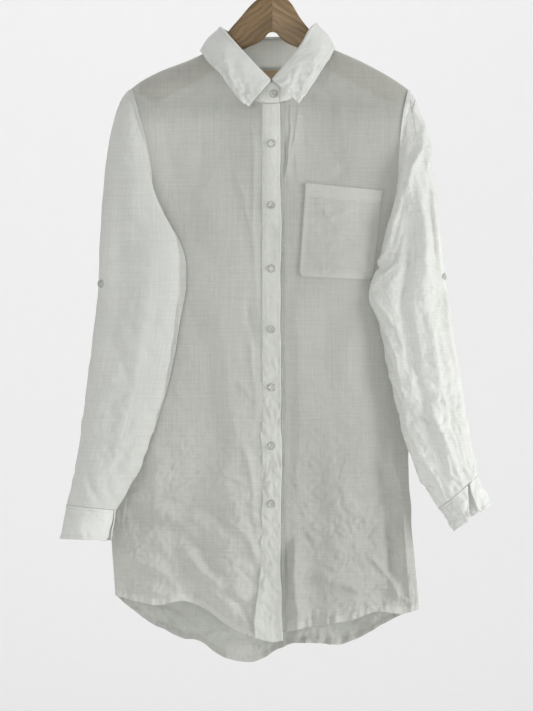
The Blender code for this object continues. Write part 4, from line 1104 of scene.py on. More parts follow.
def seam_line(angle):
    """Neck seam in space, turned from 0 at the front, round the wearer's right, to 360."""
    turn = np.radians(angle)
    x = NECK_CENTRE_X - NECK_HALF_WIDTH * np.sin(turn)
    facing = np.cos(turn) > 0
    z = np.where(facing, neck_height(x, True), neck_height(x, False))
    y = np.where(facing, front_y(x, z), back_y(x, z))
    y = y + np.where(facing & (angle > 180), under_drop(x, z), 0.0)
    return xyz(x, y, z)


def stand_panel(rows, columns):
    angle = np.linspace(STAND_ENDS[0], STAND_ENDS[1], columns)
    low = seam_line(angle)
    top = collar_fold(np.clip(angle, LEAF_ENDS[0], LEAF_ENDS[1]))
    over = np.clip(LEAF_ENDS[0] - angle, 0.0, None) / (LEAF_ENDS[0] - STAND_ENDS[0])
    under = np.clip(angle - LEAF_ENDS[1], 0.0, None) / (STAND_ENDS[1] - LEAF_ENDS[1])
    top[:, 0] += 0.0125 * over - 0.0125 * under
    top[:, 2] += -0.0090 * over ** 2 - 0.0040 * under
    top[:, 1] += LAP_DROP * smooth(300.0, 345.0, angle)
    low[:, 2] += 0.0003
    v = np.linspace(1.0, 0.0, rows)[:, None, None]
    points = mix(low[None], top[None], v)[:, ::-1]
    swell = waver(angle[::-1] / 6.0, 0.0, 3, 0.0012)[None, :] * np.sin(v[:, :, 0] * math.pi)
    return points - normals(points) * swell[..., None]


def leaf_panel(rows, columns):
    angle = np.linspace(LEAF_ENDS[0], LEAF_ENDS[1], columns)
    fold = collar_fold(angle)
    edge = splines(COLLAR, (4, 5, 6), angle)
    run = np.gradient(fold, axis=0)
    out = unit(xyz(-run[:, 1], run[:, 0], 0.0))
    drop = LAP_DROP * smooth(300.0, 345.0, angle)[:, None]
    roll = np.linspace(0.0, 1.0, 10)
    lines = []
    for share in roll:
        reach = spline(COLLAR_ROLL, 1, share) - drop * (1 - share)
        lines.append(fold + out * reach + UP * spline(COLLAR_ROLL, 2, share))
    for share in np.linspace(0.0, 1.0, rows + 1)[1:]:
        lines.append(mix(lines[len(roll) - 1], edge, share) + out * 0.0035 * math.sin(math.pi * share))
    points = np.stack(lines)[:, ::-1]
    down = np.concatenate([np.zeros(len(roll)), np.linspace(0.0, 1.0, rows + 1)[1:]])[:, None]
    turn = angle[::-1][None, :]
    tips = smooth(75.0, 20.0, turn) + smooth(285.0, 340.0, turn)
    x, z = points[..., 0], points[..., 2]
    small = crumple(x * 1.2 + z * 0.3, z, 0.008, 15) * mix(0.0004, 0.0040, tips * smooth(0.35, 0.85, down))
    large = crumple(x, z, 0.020, 16) * mix(0.0008, 0.0022, tips)
    ridge = 0.0008 * smooth(0.90, 0.98, down)
    lift = (small + large) * smooth(0.0, 0.25, down) + ridge + creases(x, z, COLLAR_CREASES) * 0.6
    points = points + normals(points) * -lift[..., None]
    wave = waver(turn / 5.0, 0.0, 9, 0.0016) * down ** 3
    return points + UP * wave[..., None]


hang("stand_cloth", stand_panel(9, 220), 2.0, "collar_stand", STAND_CLOTH_PAINTED_LIGHT, (0.430, 0.043), 0.95,
     thick=0.0010)
LEAF = hang("leaf_cloth", leaf_panel(26, 240), 2.0, "collar_leaf", DOUBLE, (0.420, 0.075), 0.85,
            thick=0.0011)

# %% [markdown]
# ## Patch pocket
# The pocket is a square of the same linen, sewn on three sides. Its top is folded over twice and
# stitched, which leaves a denser band with a slightly wavy line under it.

# %% Pocket


def pocket_panel(rows, columns):
    u, v = net(rows, columns)
    (ax, az), (bx, bz), (cx, cz), (dx, dz) = POCKET
    x = mix(mix(ax, bx, u), mix(dx, cx, u), v)
    z = mix(mix(az, bz, u), mix(dz, cz, u), v)
    line = POCKET_BAND + waver(u * 7, 0.0, 44, 0.02)
    in_band = smooth(line + 0.01, line - 0.01, v)
    corner = smooth(0.93, 1.0, v) ** 2 * 0.0045
    x = x + corner * (smooth(0.08, 0.0, u) - smooth(0.92, 1.0, u))
    from_edge = np.minimum(np.minimum(u, 1 - u) * 0.107, (1 - v) * 0.13)
    inside = smooth(0.0, 0.010, from_edge)
    out = creases(x, z, POCKET_CREASES) * inside + crumple(x, z, 0.016, 51) * 0.0009 * inside
    pucker = waver((x + z) / 0.006, from_edge / 0.02, 52, 0.0006)
    out = out + pucker * (1 - inside) + 0.0008 * in_band
    out = out + smooth(0.0, 0.0015, from_edge) * 0.0004 - bell(v, line, 0.012) * 0.0012
    y = LEFT_SURFACE(x, z) - 0.0022 - out
    return xyz(x, y, z), 1.0 + 1.6 * in_band + 1.0 * (1 - inside)


def sampler(points, low, high, step):
    """The panel's y over a regular net of x and z, averaged from the points that fall in each cell."""
    nx = int((high[0] - low[0]) / step) + 1
    nz = int((high[1] - low[1]) / step) + 1
    total = np.zeros((nx, nz))
    count = np.zeros((nx, nz))
    a = ((points[..., 0] - low[0]) / step).astype(int)
    b = ((points[..., 2] - low[1]) / step).astype(int)
    good = (a >= 0) & (a < nx) & (b >= 0) & (b < nz)
    np.add.at(total, (a[good], b[good]), points[..., 1][good])
    np.add.at(count, (a[good], b[good]), 1)
    for _ in range(6):
        empty = count == 0
        spread_total = sum(np.roll(total, s, axis) for s in (-1, 1) for axis in (0, 1))
        spread_count = sum(np.roll(count, s, axis) for s in (-1, 1) for axis in (0, 1))
        total = np.where(empty, spread_total, total)
        count = np.where(empty, spread_count, count)
    mean = total / np.maximum(count, 1)

    def find(x, z):
        a = np.clip((np.asarray(x) - low[0]) / step - 0.5, 0, nx - 1.001)
        b = np.clip((np.asarray(z) - low[1]) / step - 0.5, 0, nz - 1.001)
        ia, ib = a.astype(int), b.astype(int)
        ta, tb = a - ia, b - ib
        near = mix(mean[ia, ib], mean[ia + 1, ib], ta)
        far = mix(mean[ia, ib + 1], mean[ia + 1, ib + 1], ta)
        return mix(near, far, tb)

    return find


LEFT_SURFACE = sampler(LEFT_FRONT, (0.01, -1.0), (0.215, -0.15), 0.004)
POCKET_POINTS = hang("pocket_cloth", *pocket_panel(80, 70), "pocket", PATCH, (0.112, 0.134), 0.95, "flat")

# %% [markdown]
# ## Sleeves
# A sleeve is a tube that starts on the armhole and hangs nearly straight down. Between the two a curve
# with set directions at both ends makes the cap. Below that it is a flattened oval whose size and tilt
# follow the arm of the dress. The seam comes round to the inner side, as the sleeve's own weight turns it.

# %% Sleeves


def armhole_ring(side, count):
    """Armhole in space: down the front to the underarm in the first half, up the back in the second."""
    shoulder = float(spline(RIDGE, 1, shoulder_end(side, True)))
    z = np.linspace(shoulder, UNDERARM_Z, 90)
    front_x = edge_x(z, side, True)
    back_x = edge_x(z, side, False)
    down = xyz(front_x, lapped_y(front_x, z, side), z)
    up = xyz(back_x, back_y(back_x, z), z)[::-1]
    place = np.linspace(0.0, 1.0, count, endpoint=False)
    points = np.zeros((count, 3))
    for line, start in ((down, 0.0), (np.concatenate([down[-1:], up[1:]]), 0.5)):
        length = run_of(line)
        share = start + length / length[-1] / 2
        chosen = (place >= start) & (place < start + 0.5)
        points[chosen] = follow(line, share, place[chosen])
    return points, place


def section_ring(row, side, angle):
    """Oval section of a sleeve: angle 0 on its outer side, a quarter turn on its front."""
    x, z, tilt, half_width, y, half_depth = row[:6]
    tilt = math.radians(tilt)
    across = half_width * np.cos(angle)
    outwards = across * side * math.cos(tilt)
    return xyz(x + outwards, y - half_depth * np.sin(angle), z + across * math.sin(tilt))


def sleeve_fold(points, centre, angle, folds, z):
    place = (angle / (2 * math.pi)) % 1.0
    size = np.zeros_like(place)
    for at, width, depth, top_z, low_z in folds:
        away = np.abs(place - at)
        away = np.minimum(away, 1 - away)
        ends = smooth(top_z, top_z - 0.08, z) * smooth(low_z, low_z + 0.08, z)
        size = size + depth * np.exp(-(away / width) ** 2) * ends
    return points + unit(points - centre) * size[..., None]


def keep_clear(points, side, clearance, inset):
    """Hold the sleeve in front of the body where the two overlap."""
    x, y, z = points[..., 0], points[..., 1], points[..., 2]
    edge = edge_x(z, side, True)
    inner_x = np.minimum(x * side, edge * side - inset) * side
    surface = lapped_y(inner_x, z, side)
    over = smooth(0.004 + inset, inset * 0.5, (x - edge) * side)
    moved = np.where(y > surface - clearance, mix(y, surface - clearance, over), y)
    return xyz(x, moved, z)


def sleeve_angles(place, z):
    turn = math.radians(mix(285.0, 180.0, float(smooth(-0.48, -0.72, z))))
    return np.minimum(place, 0.5) * 2 * turn + np.maximum(place - 0.5, 0.0) * 2 * (2 * math.pi - turn)


def sleeve_panel(side, count, top_rows, low_rows):
    table = SLEEVE_RIGHT if side < 0 else SLEEVE_LEFT
    folds = SLEEVE_FOLDS_RIGHT if side < 0 else SLEEVE_FOLDS_LEFT
    start, place = armhole_ring(side, count)
    leave = unit(splines(SLEEVE_START, (1, 2, 3), place) * np.array([side, -1.0, -1.0]))
    start = start - leave * 0.0025
    turns = [sleeve_angles(place, table[0][1])] * (top_rows + 1)
    target = section_ring(table[0], side, turns[0])
    rings = [start]
    for t in np.linspace(0.0, 1.0, top_rows + 1)[1:] ** 1.25:
        ring = cubic(start, SLEEVE_LEAVE[side] * leave, target, SLEEVE_ARRIVE * -UP, t)
        ring = sleeve_fold(ring, ring.mean(axis=0), turns[0], folds, ring[:, 2])
        rings.append(keep_clear(ring, side, mix(0.0010, 0.0045, float(smooth(0.0, 0.4, t))),
                                0.012 * float(smooth(0.1, 0.7, t))))
    for z in np.linspace(table[0][1], table[-1][1], low_rows + 1)[1:]:
        row = splines(table, range(6), z, key=1)
        turns.append(sleeve_angles(place, z))
        ring = section_ring(row, side, turns[-1])
        ring = sleeve_fold(ring, row[[0, 4, 1]], turns[-1], folds, ring[:, 2])
        rings.append(keep_clear(ring, side, 0.0045, 0.012))
    points = np.stack(rings)
    angle = np.stack(turns)
    return (points, angle) if side < 0 else (points[:, ::-1], angle[:, ::-1])


def rumple(points, angle, table, seed, fade, closed, amount, deep, fine):
    """Creases and crumple of a tube, outward; the front and the back have their own, blended at the sides.
    amount is for the lower half's crumple, deep for the placed creases and fine for the small crumple."""
    x, z = points[..., 0], points[..., 2]
    front = smooth(-0.35, 0.35, np.sin(angle))
    out = creases(x, z, table) * front + creases(x + 0.006, z * 0.985 - 0.004, table) * (1 - front) * 0.9
    out = out * deep
    low = smooth(-0.45, -0.75, z) * amount
    for size, height in ((0.034, mix(0.0020, 0.0042, low)), (0.014, mix(0.0008, 0.0026, low)),
                         (0.007, mix(0.0002, 0.0009, low))):
        ahead = crumple(x + z * 0.25, z * 0.8, size, seed)
        behind = crumple(x + z * 0.25, z * 0.8, size, seed + 40)
        out = out + mix(behind, ahead, front) * height * (fine if size < 0.03 else 1.0)
    return points + normals(points, closed) * -(out * fade)[..., None]


def tube_plan(points, side, table):
    """Grain of a sleeve: the turn round its centre line, as a length on a flat oval, over the height."""
    wide = wrap(points)
    x, y, z = wide[..., 0], wide[..., 1], wide[..., 2]
    ahead = (spline(table, 4, z, key=1) - y) / 0.028
    outward = side * (x - spline(table, 0, z, key=1)) / 0.055
    turn = np.unwrap(np.arctan2(ahead, outward), axis=1)
    return np.stack([side * (0.0415 * turn - 0.0068 * np.sin(2 * turn)), z], axis=-1)


def sleeve(node, side, table, flat, share):
    points, angle = sleeve_panel(side, 150, 60, 140)
    plan = tube_plan(points, side, SLEEVE_RIGHT if side < 0 else SLEEVE_LEFT)
    row = np.arange(len(points))[:, None]
    fade = smooth(0, 12, row) * mix(0.5, 1.0, smooth(len(points) - 1, len(points) - 8, row))
    deep, fine = (0.30, 0.45) if side < 0 else (1.45, 1.7)
    points = rumple(points, angle, table, 120 + side, fade, True, 1.0, deep, fine)
    points = keep_clear(points, side, 0.0022, 0.0)
    hang(node + "_cloth", points, 1.0 + smooth(4.0, 1.0, row), node, SLEEVE if side < 0 else CREASED_PAINTED_LIGHTER, flat,
         share, plan, closed=True)


sleeve("sleeve_right", -1, RIGHT_SLEEVE_CREASES, (0.330, 0.600), 0.70)
sleeve("sleeve_left", 1, LEFT_SLEEVE_CREASES, (0.300, 0.590), 0.77)

# %% [markdown]
# ## Cuffs
# A cuff is a double band round the wrist that closes with a button. Here both hang open, so the slit
# widens downwards and shows the inside of the far layer.

# %% Cuffs
CUFF_ROWS = 26
CUFF_COLUMNS = 120


def cuff(node, side, sleeve_table, end, table, flat):
    top = sleeve_table[-1]
    top_place, low_place, top_slit, low_slit = end[6:]
    axis = unit(np.array([end[0] - top[0], end[4] - top[4], end[1] - top[1]]))
    lines, turns = [], []
    for v in np.linspace(0.0, 1.0, CUFF_ROWS):
        place = mix(top_place, low_place, v)
        half = mix(top_slit, low_slit, v ** 1.2) / 2
        corner = 0.020 * float(smooth(0.85, 1.0, v))
        ends = (place + half + corner * 0.5, place + 1 - half - corner)
        angle = 2 * math.pi * np.linspace(*ends, CUFF_COLUMNS)
        ring = mix(section_ring(top, side, angle), section_ring(end, side, angle), v)
        lines.append(ring + axis * (0.0005 + waver(angle * 3, 0.0, 8, 0.0018)[:, None] * v ** 4))
        turns.append(angle)
    points, angle = np.stack(lines), np.stack(turns)
    if side > 0:
        points, angle = points[:, ::-1], angle[:, ::-1]
    v = np.linspace(0.0, 1.0, CUFF_ROWS)[:, None]
    deep, fine = (0.25, 0.35) if side < 0 else (1.8, 1.8)
    fade = mix(0.5, 1.0, smooth(0.0, 0.3, v))
    points = rumple(points, angle, table, 140 + side, fade, False, 1.2, deep, fine)
    edge = np.minimum(np.minimum(v, 1 - v) * 0.045, 0.02)
    points = points - normals(points) * (-0.0006 * bell(edge, 0.0045, 0.0014))[..., None]
    return hang(node + "_cloth", points, 2.0, node, CUFF, flat, 0.90, thick=0.0010)


RIGHT_CUFF = cuff("cuff_right", -1, SLEEVE_RIGHT, CUFF_ENDS[0], RIGHT_SLEEVE_CREASES, (0.215, 0.047))
LEFT_CUFF = cuff("cuff_left", 1, SLEEVE_LEFT, CUFF_ENDS[1], LEFT_SLEEVE_CREASES, (0.195, 0.047))

# %% [markdown]
# ## Neck label
# A bare strip of woven tape on the inside of the yoke, swelling a little in its middle.

# %% Label
LABEL_X = (-0.0260, 0.0160)
LABEL_Z = (-0.1840, -0.2020)
LABEL_CLEAR = 0.0042


def label_panel(rows, columns):
    u, v = net(rows, columns)
    x = mix(*LABEL_X, u) + 0.0 * v
    z = mix(*LABEL_Z, v) + 0.0 * u
    swell = 0.0007 * np.sin(math.pi * v) * np.sin(math.pi * u) ** 0.3
    return xyz(x, back_y(x, z) - LABEL_CLEAR - swell, z)


def tape(name):
    s = Shader(name)
    ribs = s.noise(s.plan(), (300.0, 2600.0, 1.0), 1.0)
    colour = s.scaled((0.52, 0.37, 0.23), ribs.to(0.2, 0.8, 0.82, 1.12))
    return s.finish(Base_Color=colour, Roughness=0.75, Normal=s.bump(ribs, 0.0002, 0.6))


hang("label_tape", label_panel(24, 50), 2.0, "neck_label", tape("label_weave"), (0.042, 0.018), 1.0,
     thick=0.0007, slot="label")

# %% [markdown]
# ## Buttons
# Shell buttons are turned on a lathe: a flat back, a rounded rim and a shallow dish with four holes.
# The height over the back is one function of the place on the disc, with a narrow dent at each hole.

# %% Buttons
BUTTON_RADIUS = 0.0058
BUTTON_COLUMNS = 48
RIM_START = 0.0044
HOLE_REACH = 0.0012
BAR_RADIUS = 0.00022


def button_points():
    """Disc in polar rings: rim profile over the radius, and four bell-shaped dents for the holes."""
    radius = np.concatenate([np.linspace(0.00012, 0.0028, 20), np.linspace(0.0031, BUTTON_RADIUS, 14)])
    radius = radius[:, None]
    angle = circle(BUTTON_COLUMNS)[None, :]
    x, y = radius * np.cos(angle), radius * np.sin(angle)
    height = 0.0014 + 0.0009 * smooth(0.0032, RIM_START, radius)
    rim = 0.0023 - 0.0021 * (np.maximum(radius - RIM_START, 0.0) / 0.0013) ** 2.4
    height = np.where(radius > RIM_START, rim, height) + 0.0 * angle
    for sx in (-1, 1):
        for sy in (-1, 1):
            away = np.hypot(x - sx * HOLE_REACH, y - sy * HOLE_REACH)
            height = height - 0.0010 * smooth(0.00062, 0.00034, away)
    top = xyz(x, y, height)
    under = top[-1:].copy()
    under[..., :2] *= 0.86
    under[..., 2] = 0.0
    close = under.copy()
    close[..., :2] *= 0.02
    return np.concatenate([top, under, close])


def facing(normal):
    """Rotation whose third axis is the normal and whose second points upwards."""
    normal = unit(normal)
    across = unit(np.cross(UP, normal))
    return np.stack([across, np.cross(normal, across), normal], axis=1)


def pearl(name):
    """Translucent shell: cloudy bands seen through a clear, glossy coat."""
    s = Shader(name)
    bands = s.noise(s.place(), (260.0, 260.0, 620.0), 3.0, 0.6)
    colour = s.ramp(bands, (0.30, (0.22, 0.23, 0.21)), (0.72, (0.56, 0.57, 0.54)))
    return s.finish(Base_Color=colour, Roughness=0.22, Coat_Weight=0.5, Coat_Roughness=0.12,
                    Subsurface_Weight=0.25, Subsurface_Radius=(0.002, 0.002, 0.002), Subsurface_Scale=1.0)


def dyed_thread(name):
    s = Shader(name)
    twist = s.noise(s.place(), (4200.0, 4200.0, 900.0), 1.0)
    return s.finish(Base_Color=s.scaled((0.66, 0.67, 0.62), twist.to(0.3, 0.7, 0.75, 1.1)), Roughness=0.8)


PEARL = pearl("pearl_shell")
THREAD = dyed_thread("sewing_thread")


def solid(name, grids, material, node=None):
    """One object from several point grids, each closed round its columns."""
    faces, start = [], 0
    for grid in grids:
        rows, columns = grid.shape[:2]
        faces.append(corners(wrap(numbers(rows, columns, start)))[..., [0, 3, 2, 1]].reshape(-1, 4))
        start += rows * columns
    points = np.concatenate([grid.reshape(-1, 3) for grid in grids])
    settle(build(name, points, np.concatenate(faces), material), node)


def rod(start, end):
    """A short thread between two points, as four rings of six points."""
    t = np.array([0.0, 0.33, 0.67, 1.0])[:, None]
    axis = unit(end - start)
    side = unit(np.cross(axis, BACKWARDS))
    other = np.cross(axis, side)
    centre = mix(start, end, t)
    angle = circle(6)
    ring = np.cos(angle)[:, None] * side + np.sin(angle)[:, None] * other
    size = BAR_RADIUS * np.array([0.3, 1.0, 1.0, 0.3])
    return centre[:, None] + ring[None] * size[:, None, None]


def add_button(node, centre, normal, turn):
    """The button, and its sewing thread as two short bars between the holes."""
    spin = np.array([[math.cos(turn), -math.sin(turn), 0], [math.sin(turn), math.cos(turn), 0], [0, 0, 1]])
    frame_of = facing(normal) @ spin
    solid(node + "_shell", [button_points() @ frame_of.T + centre], PEARL, node)
    bars = []
    for s in (-1, 1):
        for shift in (-0.0002, 0.0002):
            ends = [frame_of @ np.array([x, s * HOLE_REACH + shift, 0.0013]) + centre
                    for x in (-HOLE_REACH, HOLE_REACH)]
            bars.append(rod(*ends))
    solid(node + "_shell_thread", bars, THREAD)


def band_normal(points, z):
    """Place and outward normal at the middle of the upper band, at a height."""
    row = int(np.argmin(np.abs(points[:, 7, 2] - z)))
    return points[row, 8], normals(points[row - 4:row + 5])[4, 8]


for number, z in enumerate(BAND_BUTTONS_Z, 1):
    place, out = band_normal(OVER_BAND, z)
    out = out if out[1] < 0 else -out
    centre = np.array([-0.0012, place[1] + 0.0001, z])
    add_button(f"button_{number}", centre, out, 0.3 * number)

low, top = seam_line(np.array(0.0)), collar_fold(np.array(0.0))
share = (STAND_BUTTON[1] - low[2]) / (top[2] - low[2])
out = unit(np.array([0.0, -(top[2] - low[2]), top[1] - low[1]]))
centre = mix(low, top, share) * np.array([0.0, 1.0, 1.0]) + np.array([STAND_BUTTON[0], 0.0, 0.0])
add_button("button_stand", centre + out * 0.0003, out, 0.5)
TAB_BUTTONS = (("right", -1, SLEEVE_RIGHT, -0.492, 21.0), ("left", 1, SLEEVE_LEFT, -0.482, 12.0))
for name, side, table, z, degrees in TAB_BUTTONS:
    row = splines(table, range(6), z, key=1)
    angle = math.radians(degrees)
    point = section_ring(row, side, np.array(angle))
    out = unit(np.array([side * math.cos(angle) / row[3], -math.sin(angle) / row[5], 0.0]))
    add_button(f"roll_button_{name}", point + out * 0.0006, out, 0.9)
print("buttons:", len(BAND_BUTTONS_Z) + 3, "with", len(button_points()) * BUTTON_COLUMNS, "points each")

# %% [markdown]
# ## Wooden hanger
# Two shaped boards meet in a glued joint under the hook. Each section is a rectangle with well rounded
# corners, and the grain runs along each arm, so the two halves are toned differently at the joint.

# %% Hanger
HALF_BOARD = 0.0055
CORNER_POWER = 0.45


def hanger_top(x, side):
    column = 0 if side < 0 else 1
    own = spline(HANGER_TOP, 2, x, key=column)
    under = spline(RIDGE, 1, side * x) - WALL - 0.0012
    return np.where(x < HANGER_TOP[-1][column], own, np.minimum(under, own))


def hanger_half(side):
    """Rounded sections along the arm; a low power of sine and cosine makes the corners."""
    x = np.concatenate([[0.00002, 0.0006], np.linspace(0.003, 0.188, 70), [0.1895, 0.1903, 0.1905]])
    top = hanger_top(x, side)
    low = spline(HANGER_LOW, 1, x)
    end = smooth(0.170, 0.1905, x)
    low = mix(low, top - 0.016, end)
    grow = np.ones_like(x)
    grow[0] = 0.985
    grow[-3:] = (0.93, 0.75, 0.05)
    angle = circle(40)[None, :]
    c, s = np.cos(angle), np.sin(angle)
    half = ((top - low) / 2 * grow)[:, None]
    z = ((top + low) / 2)[:, None] + half * np.sign(s) * np.abs(s) ** CORNER_POWER
    y = HALF_BOARD * grow[:, None] * np.sign(c) * np.abs(c) ** CORNER_POWER
    points = xyz(side * x[:, None], y, z)
    cap = points[:1] * np.array([1.0, 0.02, 1.0])
    cap[..., 2] = (top[0] + low[0]) / 2 + (cap[..., 2] - (top[0] + low[0]) / 2) * 0.02
    points = np.concatenate([cap, points])
    return points if side > 0 else points[:, ::-1]


def wood(name, dark, light, slope, offset):
    """Wood cut along its grain: noise stretched along the arm, rings from a bent wave, and pale blotches."""
    s = Shader(name)
    turned = s.add("Mapping", "Vector", Vector=s.place(), Location=(offset, 0.0, 0.0),
                   Rotation=(0.0, slope, 0.0))
    fibre = s.noise(turned, (22.0, 260.0, 520.0), 4.0, 0.6)
    broad = s.noise(turned, (9.0, 60.0, 70.0), 3.0, 0.55)
    rings = s.add("TexWave", "Fac", Vector=turned, Scale=38.0, Distortion=5.0, Detail=2.0,
                  set_bands_direction="Z")
    colour = s.ramp(fibre * 0.45 + broad * 0.45 + rings * 0.12, (0.36, dark), (0.66, light))
    return s.finish(Base_Color=colour, Roughness=fibre.to(0.3, 0.7, 0.42, 0.60),
                    Normal=s.bump(fibre, 0.0003, 0.5))


DARK_WOOD = wood("wood_right", (0.100, 0.058, 0.022), (0.230, 0.146, 0.060), 0.65, 0.3)
PALE_WOOD = wood("wood_left", (0.140, 0.088, 0.040), (0.304, 0.210, 0.104), -0.55, 1.7)
solid("hanger_right_wood", [hanger_half(-1)], DARK_WOOD, "hanger_right")
solid("hanger_left_wood", [hanger_half(1)], PALE_WOOD, "hanger_left")

# %% [markdown]
# ## Hook
# The hook is outside the photograph, so it gets the usual form: one wire bent over a round bar, with a
# rounded end, and a stem that enters the wood. Its inside top is the origin of the whole dress.

# %% Hook
HOOK_RADIUS = 0.020
WIRE_RADIUS = 0.0018
STEM_LOW_Z = -0.0777


def hook_points():
    """A tube along the bend: each ring lies across the path, in the plane of its normal and the y axis."""
    radius = HOOK_RADIUS + WIRE_RADIUS
    turn = np.radians(np.linspace(-78.0, 198.0, 60))
    bend = xyz(radius * np.cos(turn), 0.0, -HOOK_RADIUS + radius * np.sin(turn))
    stem = xyz(0.0, 0.0, np.linspace(STEM_LOW_Z, -HOOK_RADIUS - radius - 0.010, 12))
    t = np.linspace(0.0, 1.0, 8)[1:-1, None]
    knee = (1 - t) ** 2 * stem[-1] + 2 * t * (1 - t) * np.array([0.0006, 0.0, -0.0450]) + t ** 2 * bend[0]
    tip = np.linspace(0.0, 1.0, 6)[1:, None]
    end = bend[-1] + unit(bend[-1] - bend[-2]) * 0.0016 * tip
    path = np.concatenate([stem, knee, bend, end])
    size = np.full((len(path), 1, 1), WIRE_RADIUS)
    size[-len(tip):, 0] = WIRE_RADIUS * np.sqrt(np.clip(1 - tip ** 2, 0.0004, 1))
    run = unit(np.gradient(path, axis=0))
    side = xyz(run[:, 2], 0.0, -run[:, 0])
    angle = circle(20)
    ring = np.cos(angle)[None, :, None] * side[:, None] + np.sin(angle)[None, :, None] * BACKWARDS
    return path[:, None] + ring * size


def brushed_metal(name):
    s = Shader(name)
    scratch = s.noise(s.place(), (400.0, 400.0, 90.0), 2.0)
    return s.finish(Base_Color=(0.62, 0.62, 0.63, 1), Metallic=1.0,
                    Roughness=scratch.to(0.3, 0.7, 0.20, 0.34))


solid("hook_wire", [hook_points()], brushed_metal("hook_metal"), "hook")

# %% [markdown]
# ## Stitching
# A machine stitch is a small thread bar every two and a half millimetres. Lines of them run along the
# bands, the hems, the pocket, the collar and the cuffs. Each bar is laid on the cloth's own grid points.

# %% Stitches
STITCH_STEP = 0.0026
STITCH_SHARE = 0.68
STITCH_RADIUS = 0.00018
STITCH_LIFT = 0.0003


def along(line, offset):
    """Pairs of points for the stitches along a line of points."""
    run = run_of(line)
    start = np.arange(STITCH_STEP * 0.3, run[-1] - STITCH_STEP, STITCH_STEP)
    both = (start, start + STITCH_STEP * STITCH_SHARE)
    return [follow(line, run, places) + offset for places in both]


def sewing(name, lines):
    """All stitches of one piece: a bar with a square section for each pair of points."""
    pairs = [along(line, offset) for line, offset in lines]
    first, last = (np.concatenate(part) for part in zip(*pairs))
    axis = unit(last - first)
    side = unit(np.cross(axis, BACKWARDS))
    other = np.cross(axis, side)
    points = np.stack([centre + (a * side + b * other) * STITCH_RADIUS for centre in (first, last)
                       for a, b in ((1, 0), (0, 1), (-1, 0), (0, -1))], axis=1)
    shape = np.array([(0, 1, 5, 4), (1, 2, 6, 5), (2, 3, 7, 6), (3, 0, 4, 7), (3, 2, 1, 0), (4, 5, 6, 7)])
    faces = shape[None] + (np.arange(len(first)) * 8)[:, None, None]
    settle(build(name, points, faces, THREAD, smooth=False))
    return len(first)


def row_line(points, share):
    """The grid line at a share of its columns."""
    place = share * (points.shape[1] - 1)
    left = int(place)
    right = min(left + 1, points.shape[1] - 1)
    return mix(points[:, left], points[:, right], place - left)


def level_line(points, share):
    return row_line(points.swapaxes(0, 1), share)


def hem_line(points, rise):
    """A line at a fixed height over the lower edge of a panel."""
    return np.array([follow(column, column[:, 2], column[0, 2] + rise)
                     for column in points[::-1].swapaxes(0, 1)])


BEHIND = STITCH_LIFT * BACKWARDS
AHEAD = -BEHIND
rows_of = [(OVER_BAND, 0.13), (OVER_BAND, 0.87), (UNDER_BAND, 0.87)]
count = sewing("stitches_bands", [(row_line(grid, u), AHEAD) for grid, u in rows_of])
fronts = [(hem_line(grid, HEM - 0.001), AHEAD) for grid in (RIGHT_FRONT, LEFT_FRONT)]
count += sewing("stitches_hems", fronts + [(hem_line(BACK, HEM - 0.001), BEHIND)])
edge = 0.018
sides = [(row_line(POCKET_POINTS, u), AHEAD) for u in (edge, 1 - edge)]
levels = [(level_line(POCKET_POINTS, v), AHEAD) for v in (1 - edge, POCKET_BAND)]
count += sewing("stitches_pocket", sides + levels)
outer = LEAF - normals(LEAF) * STITCH_LIFT
tips = [(row_line(outer, u)[12:], 0.0) for u in (0.018, 0.982)]
count += sewing("stitches_collar", [(level_line(outer, 0.87), 0.0)] + tips)
for name, points in (("right", RIGHT_CUFF), ("left", LEFT_CUFF)):
    lifted = points - normals(points) * STITCH_LIFT
    count += sewing(f"stitches_cuff_{name}", [(level_line(lifted, v), 0.0) for v in (0.10, 0.90)])
print("stitches:", count)

# %% [markdown]
# ## Floor, light and camera
# The dress hangs in front of a wide, bright paper sweep. A large lamp from the wearer's left rakes across
# the cloth, so each crease gets one bright side, and a weak lamp fills the other. The light behind the
# dress glows through its sheer layers.

# %% Stage


def sweep():
    """Paper sweep: floor, a round bend, then wall."""
    turn = np.linspace(0.0, math.pi / 2, 24)
    y = np.concatenate([[-8.0], 3.2 + 1.6 * np.sin(turn), [4.8]])
    z = np.concatenate([[-1.45], 0.15 - 1.6 * np.cos(turn), [0.38]])
    return xyz(np.linspace(-5.0, 5.0, 12)[:, None], y[None], z[None])


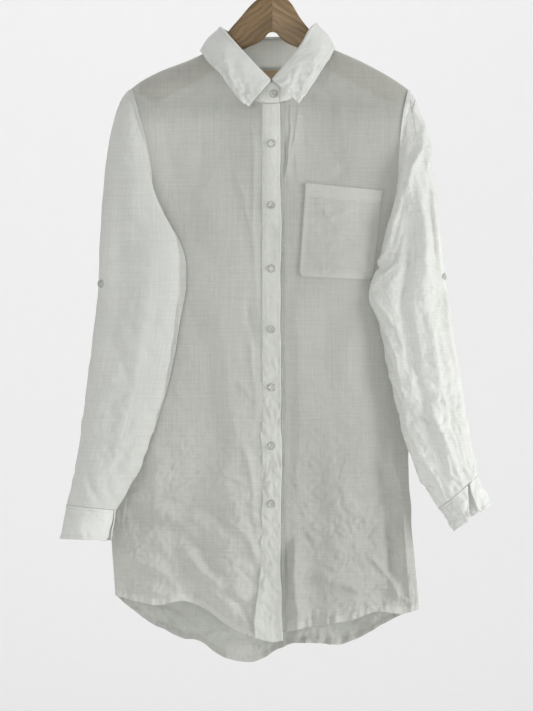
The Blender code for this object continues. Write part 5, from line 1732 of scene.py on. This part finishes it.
def paper(name):
    s = Shader(name)
    grain = s.noise(s.place(), (30.0, 30.0, 30.0), 3.0)
    return s.finish(Base_Color=s.scaled((0.88, 0.88, 0.88), grain.to(0.0, 1.0, 0.99, 1.01)), Roughness=0.95,
                    Specular_IOR_Level=0.0)


PAPER = sweep()
faces = corners(numbers(*PAPER.shape[:2]))[..., [0, 3, 2, 1]]
build("paper_sweep", PAPER, faces, paper("paper"))

world = bpy.data.worlds.new("studio")
bpy.context.scene.world = world
world.use_nodes = True
sky = world.node_tree.nodes["Background"]
sky.inputs["Color"].default_value = (1.0, 1.0, 1.0, 1)
sky.inputs["Strength"].default_value = 0.44


def lamp(name, place, aim, size, power):
    data = bpy.data.lights.new(name, "AREA")
    data.shape = "RECTANGLE"
    data.size, data.size_y = size
    data.energy = power
    item = bpy.data.objects.new(name, data)
    bpy.context.collection.objects.link(item)
    item.location = place
    direction = np.array(aim, float) - np.array(place, float)
    yaw = math.atan2(direction[0], -direction[1])
    pitch = math.atan2(math.hypot(direction[0], direction[1]), -direction[2])
    item.rotation_euler = (pitch, 0.0, yaw + math.pi)


lamp("key", (2.1, -0.80, -0.40), (0.0, 0.0, -0.6), (0.8, 1.0), 37.0)
lamp("fill", (-1.9, -3.0, 0.3), (0.0, 0.0, -0.5), (1.6, 1.6), 26.0)
lamp("front", (-0.3, -4.2, -0.6), (0.0, 0.0, -0.5), (1.0, 1.0), 26.0)
lamp("wall", (0.0, 1.2, 2.4), (0.3, 4.0, -1.25), (4.0, 1.0), 83.0)

camera_data = bpy.data.cameras.new("camera")
camera_data.sensor_fit = "HORIZONTAL"
camera_data.sensor_width = 36.0
camera_data.lens = 284.0
camera = bpy.data.objects.new("camera", camera_data)
bpy.context.collection.objects.link(camera)
camera.location = (-0.0085, -6.00, -0.594)
camera.rotation_euler = (math.radians(90.0), 0.0, 0.0)
bpy.context.scene.camera = camera
bpy.context.scene.view_settings.view_transform = "Standard"
print("camera", tuple(round(v, 3) for v in camera.location), "lens", round(camera_data.lens, 1), "mm")
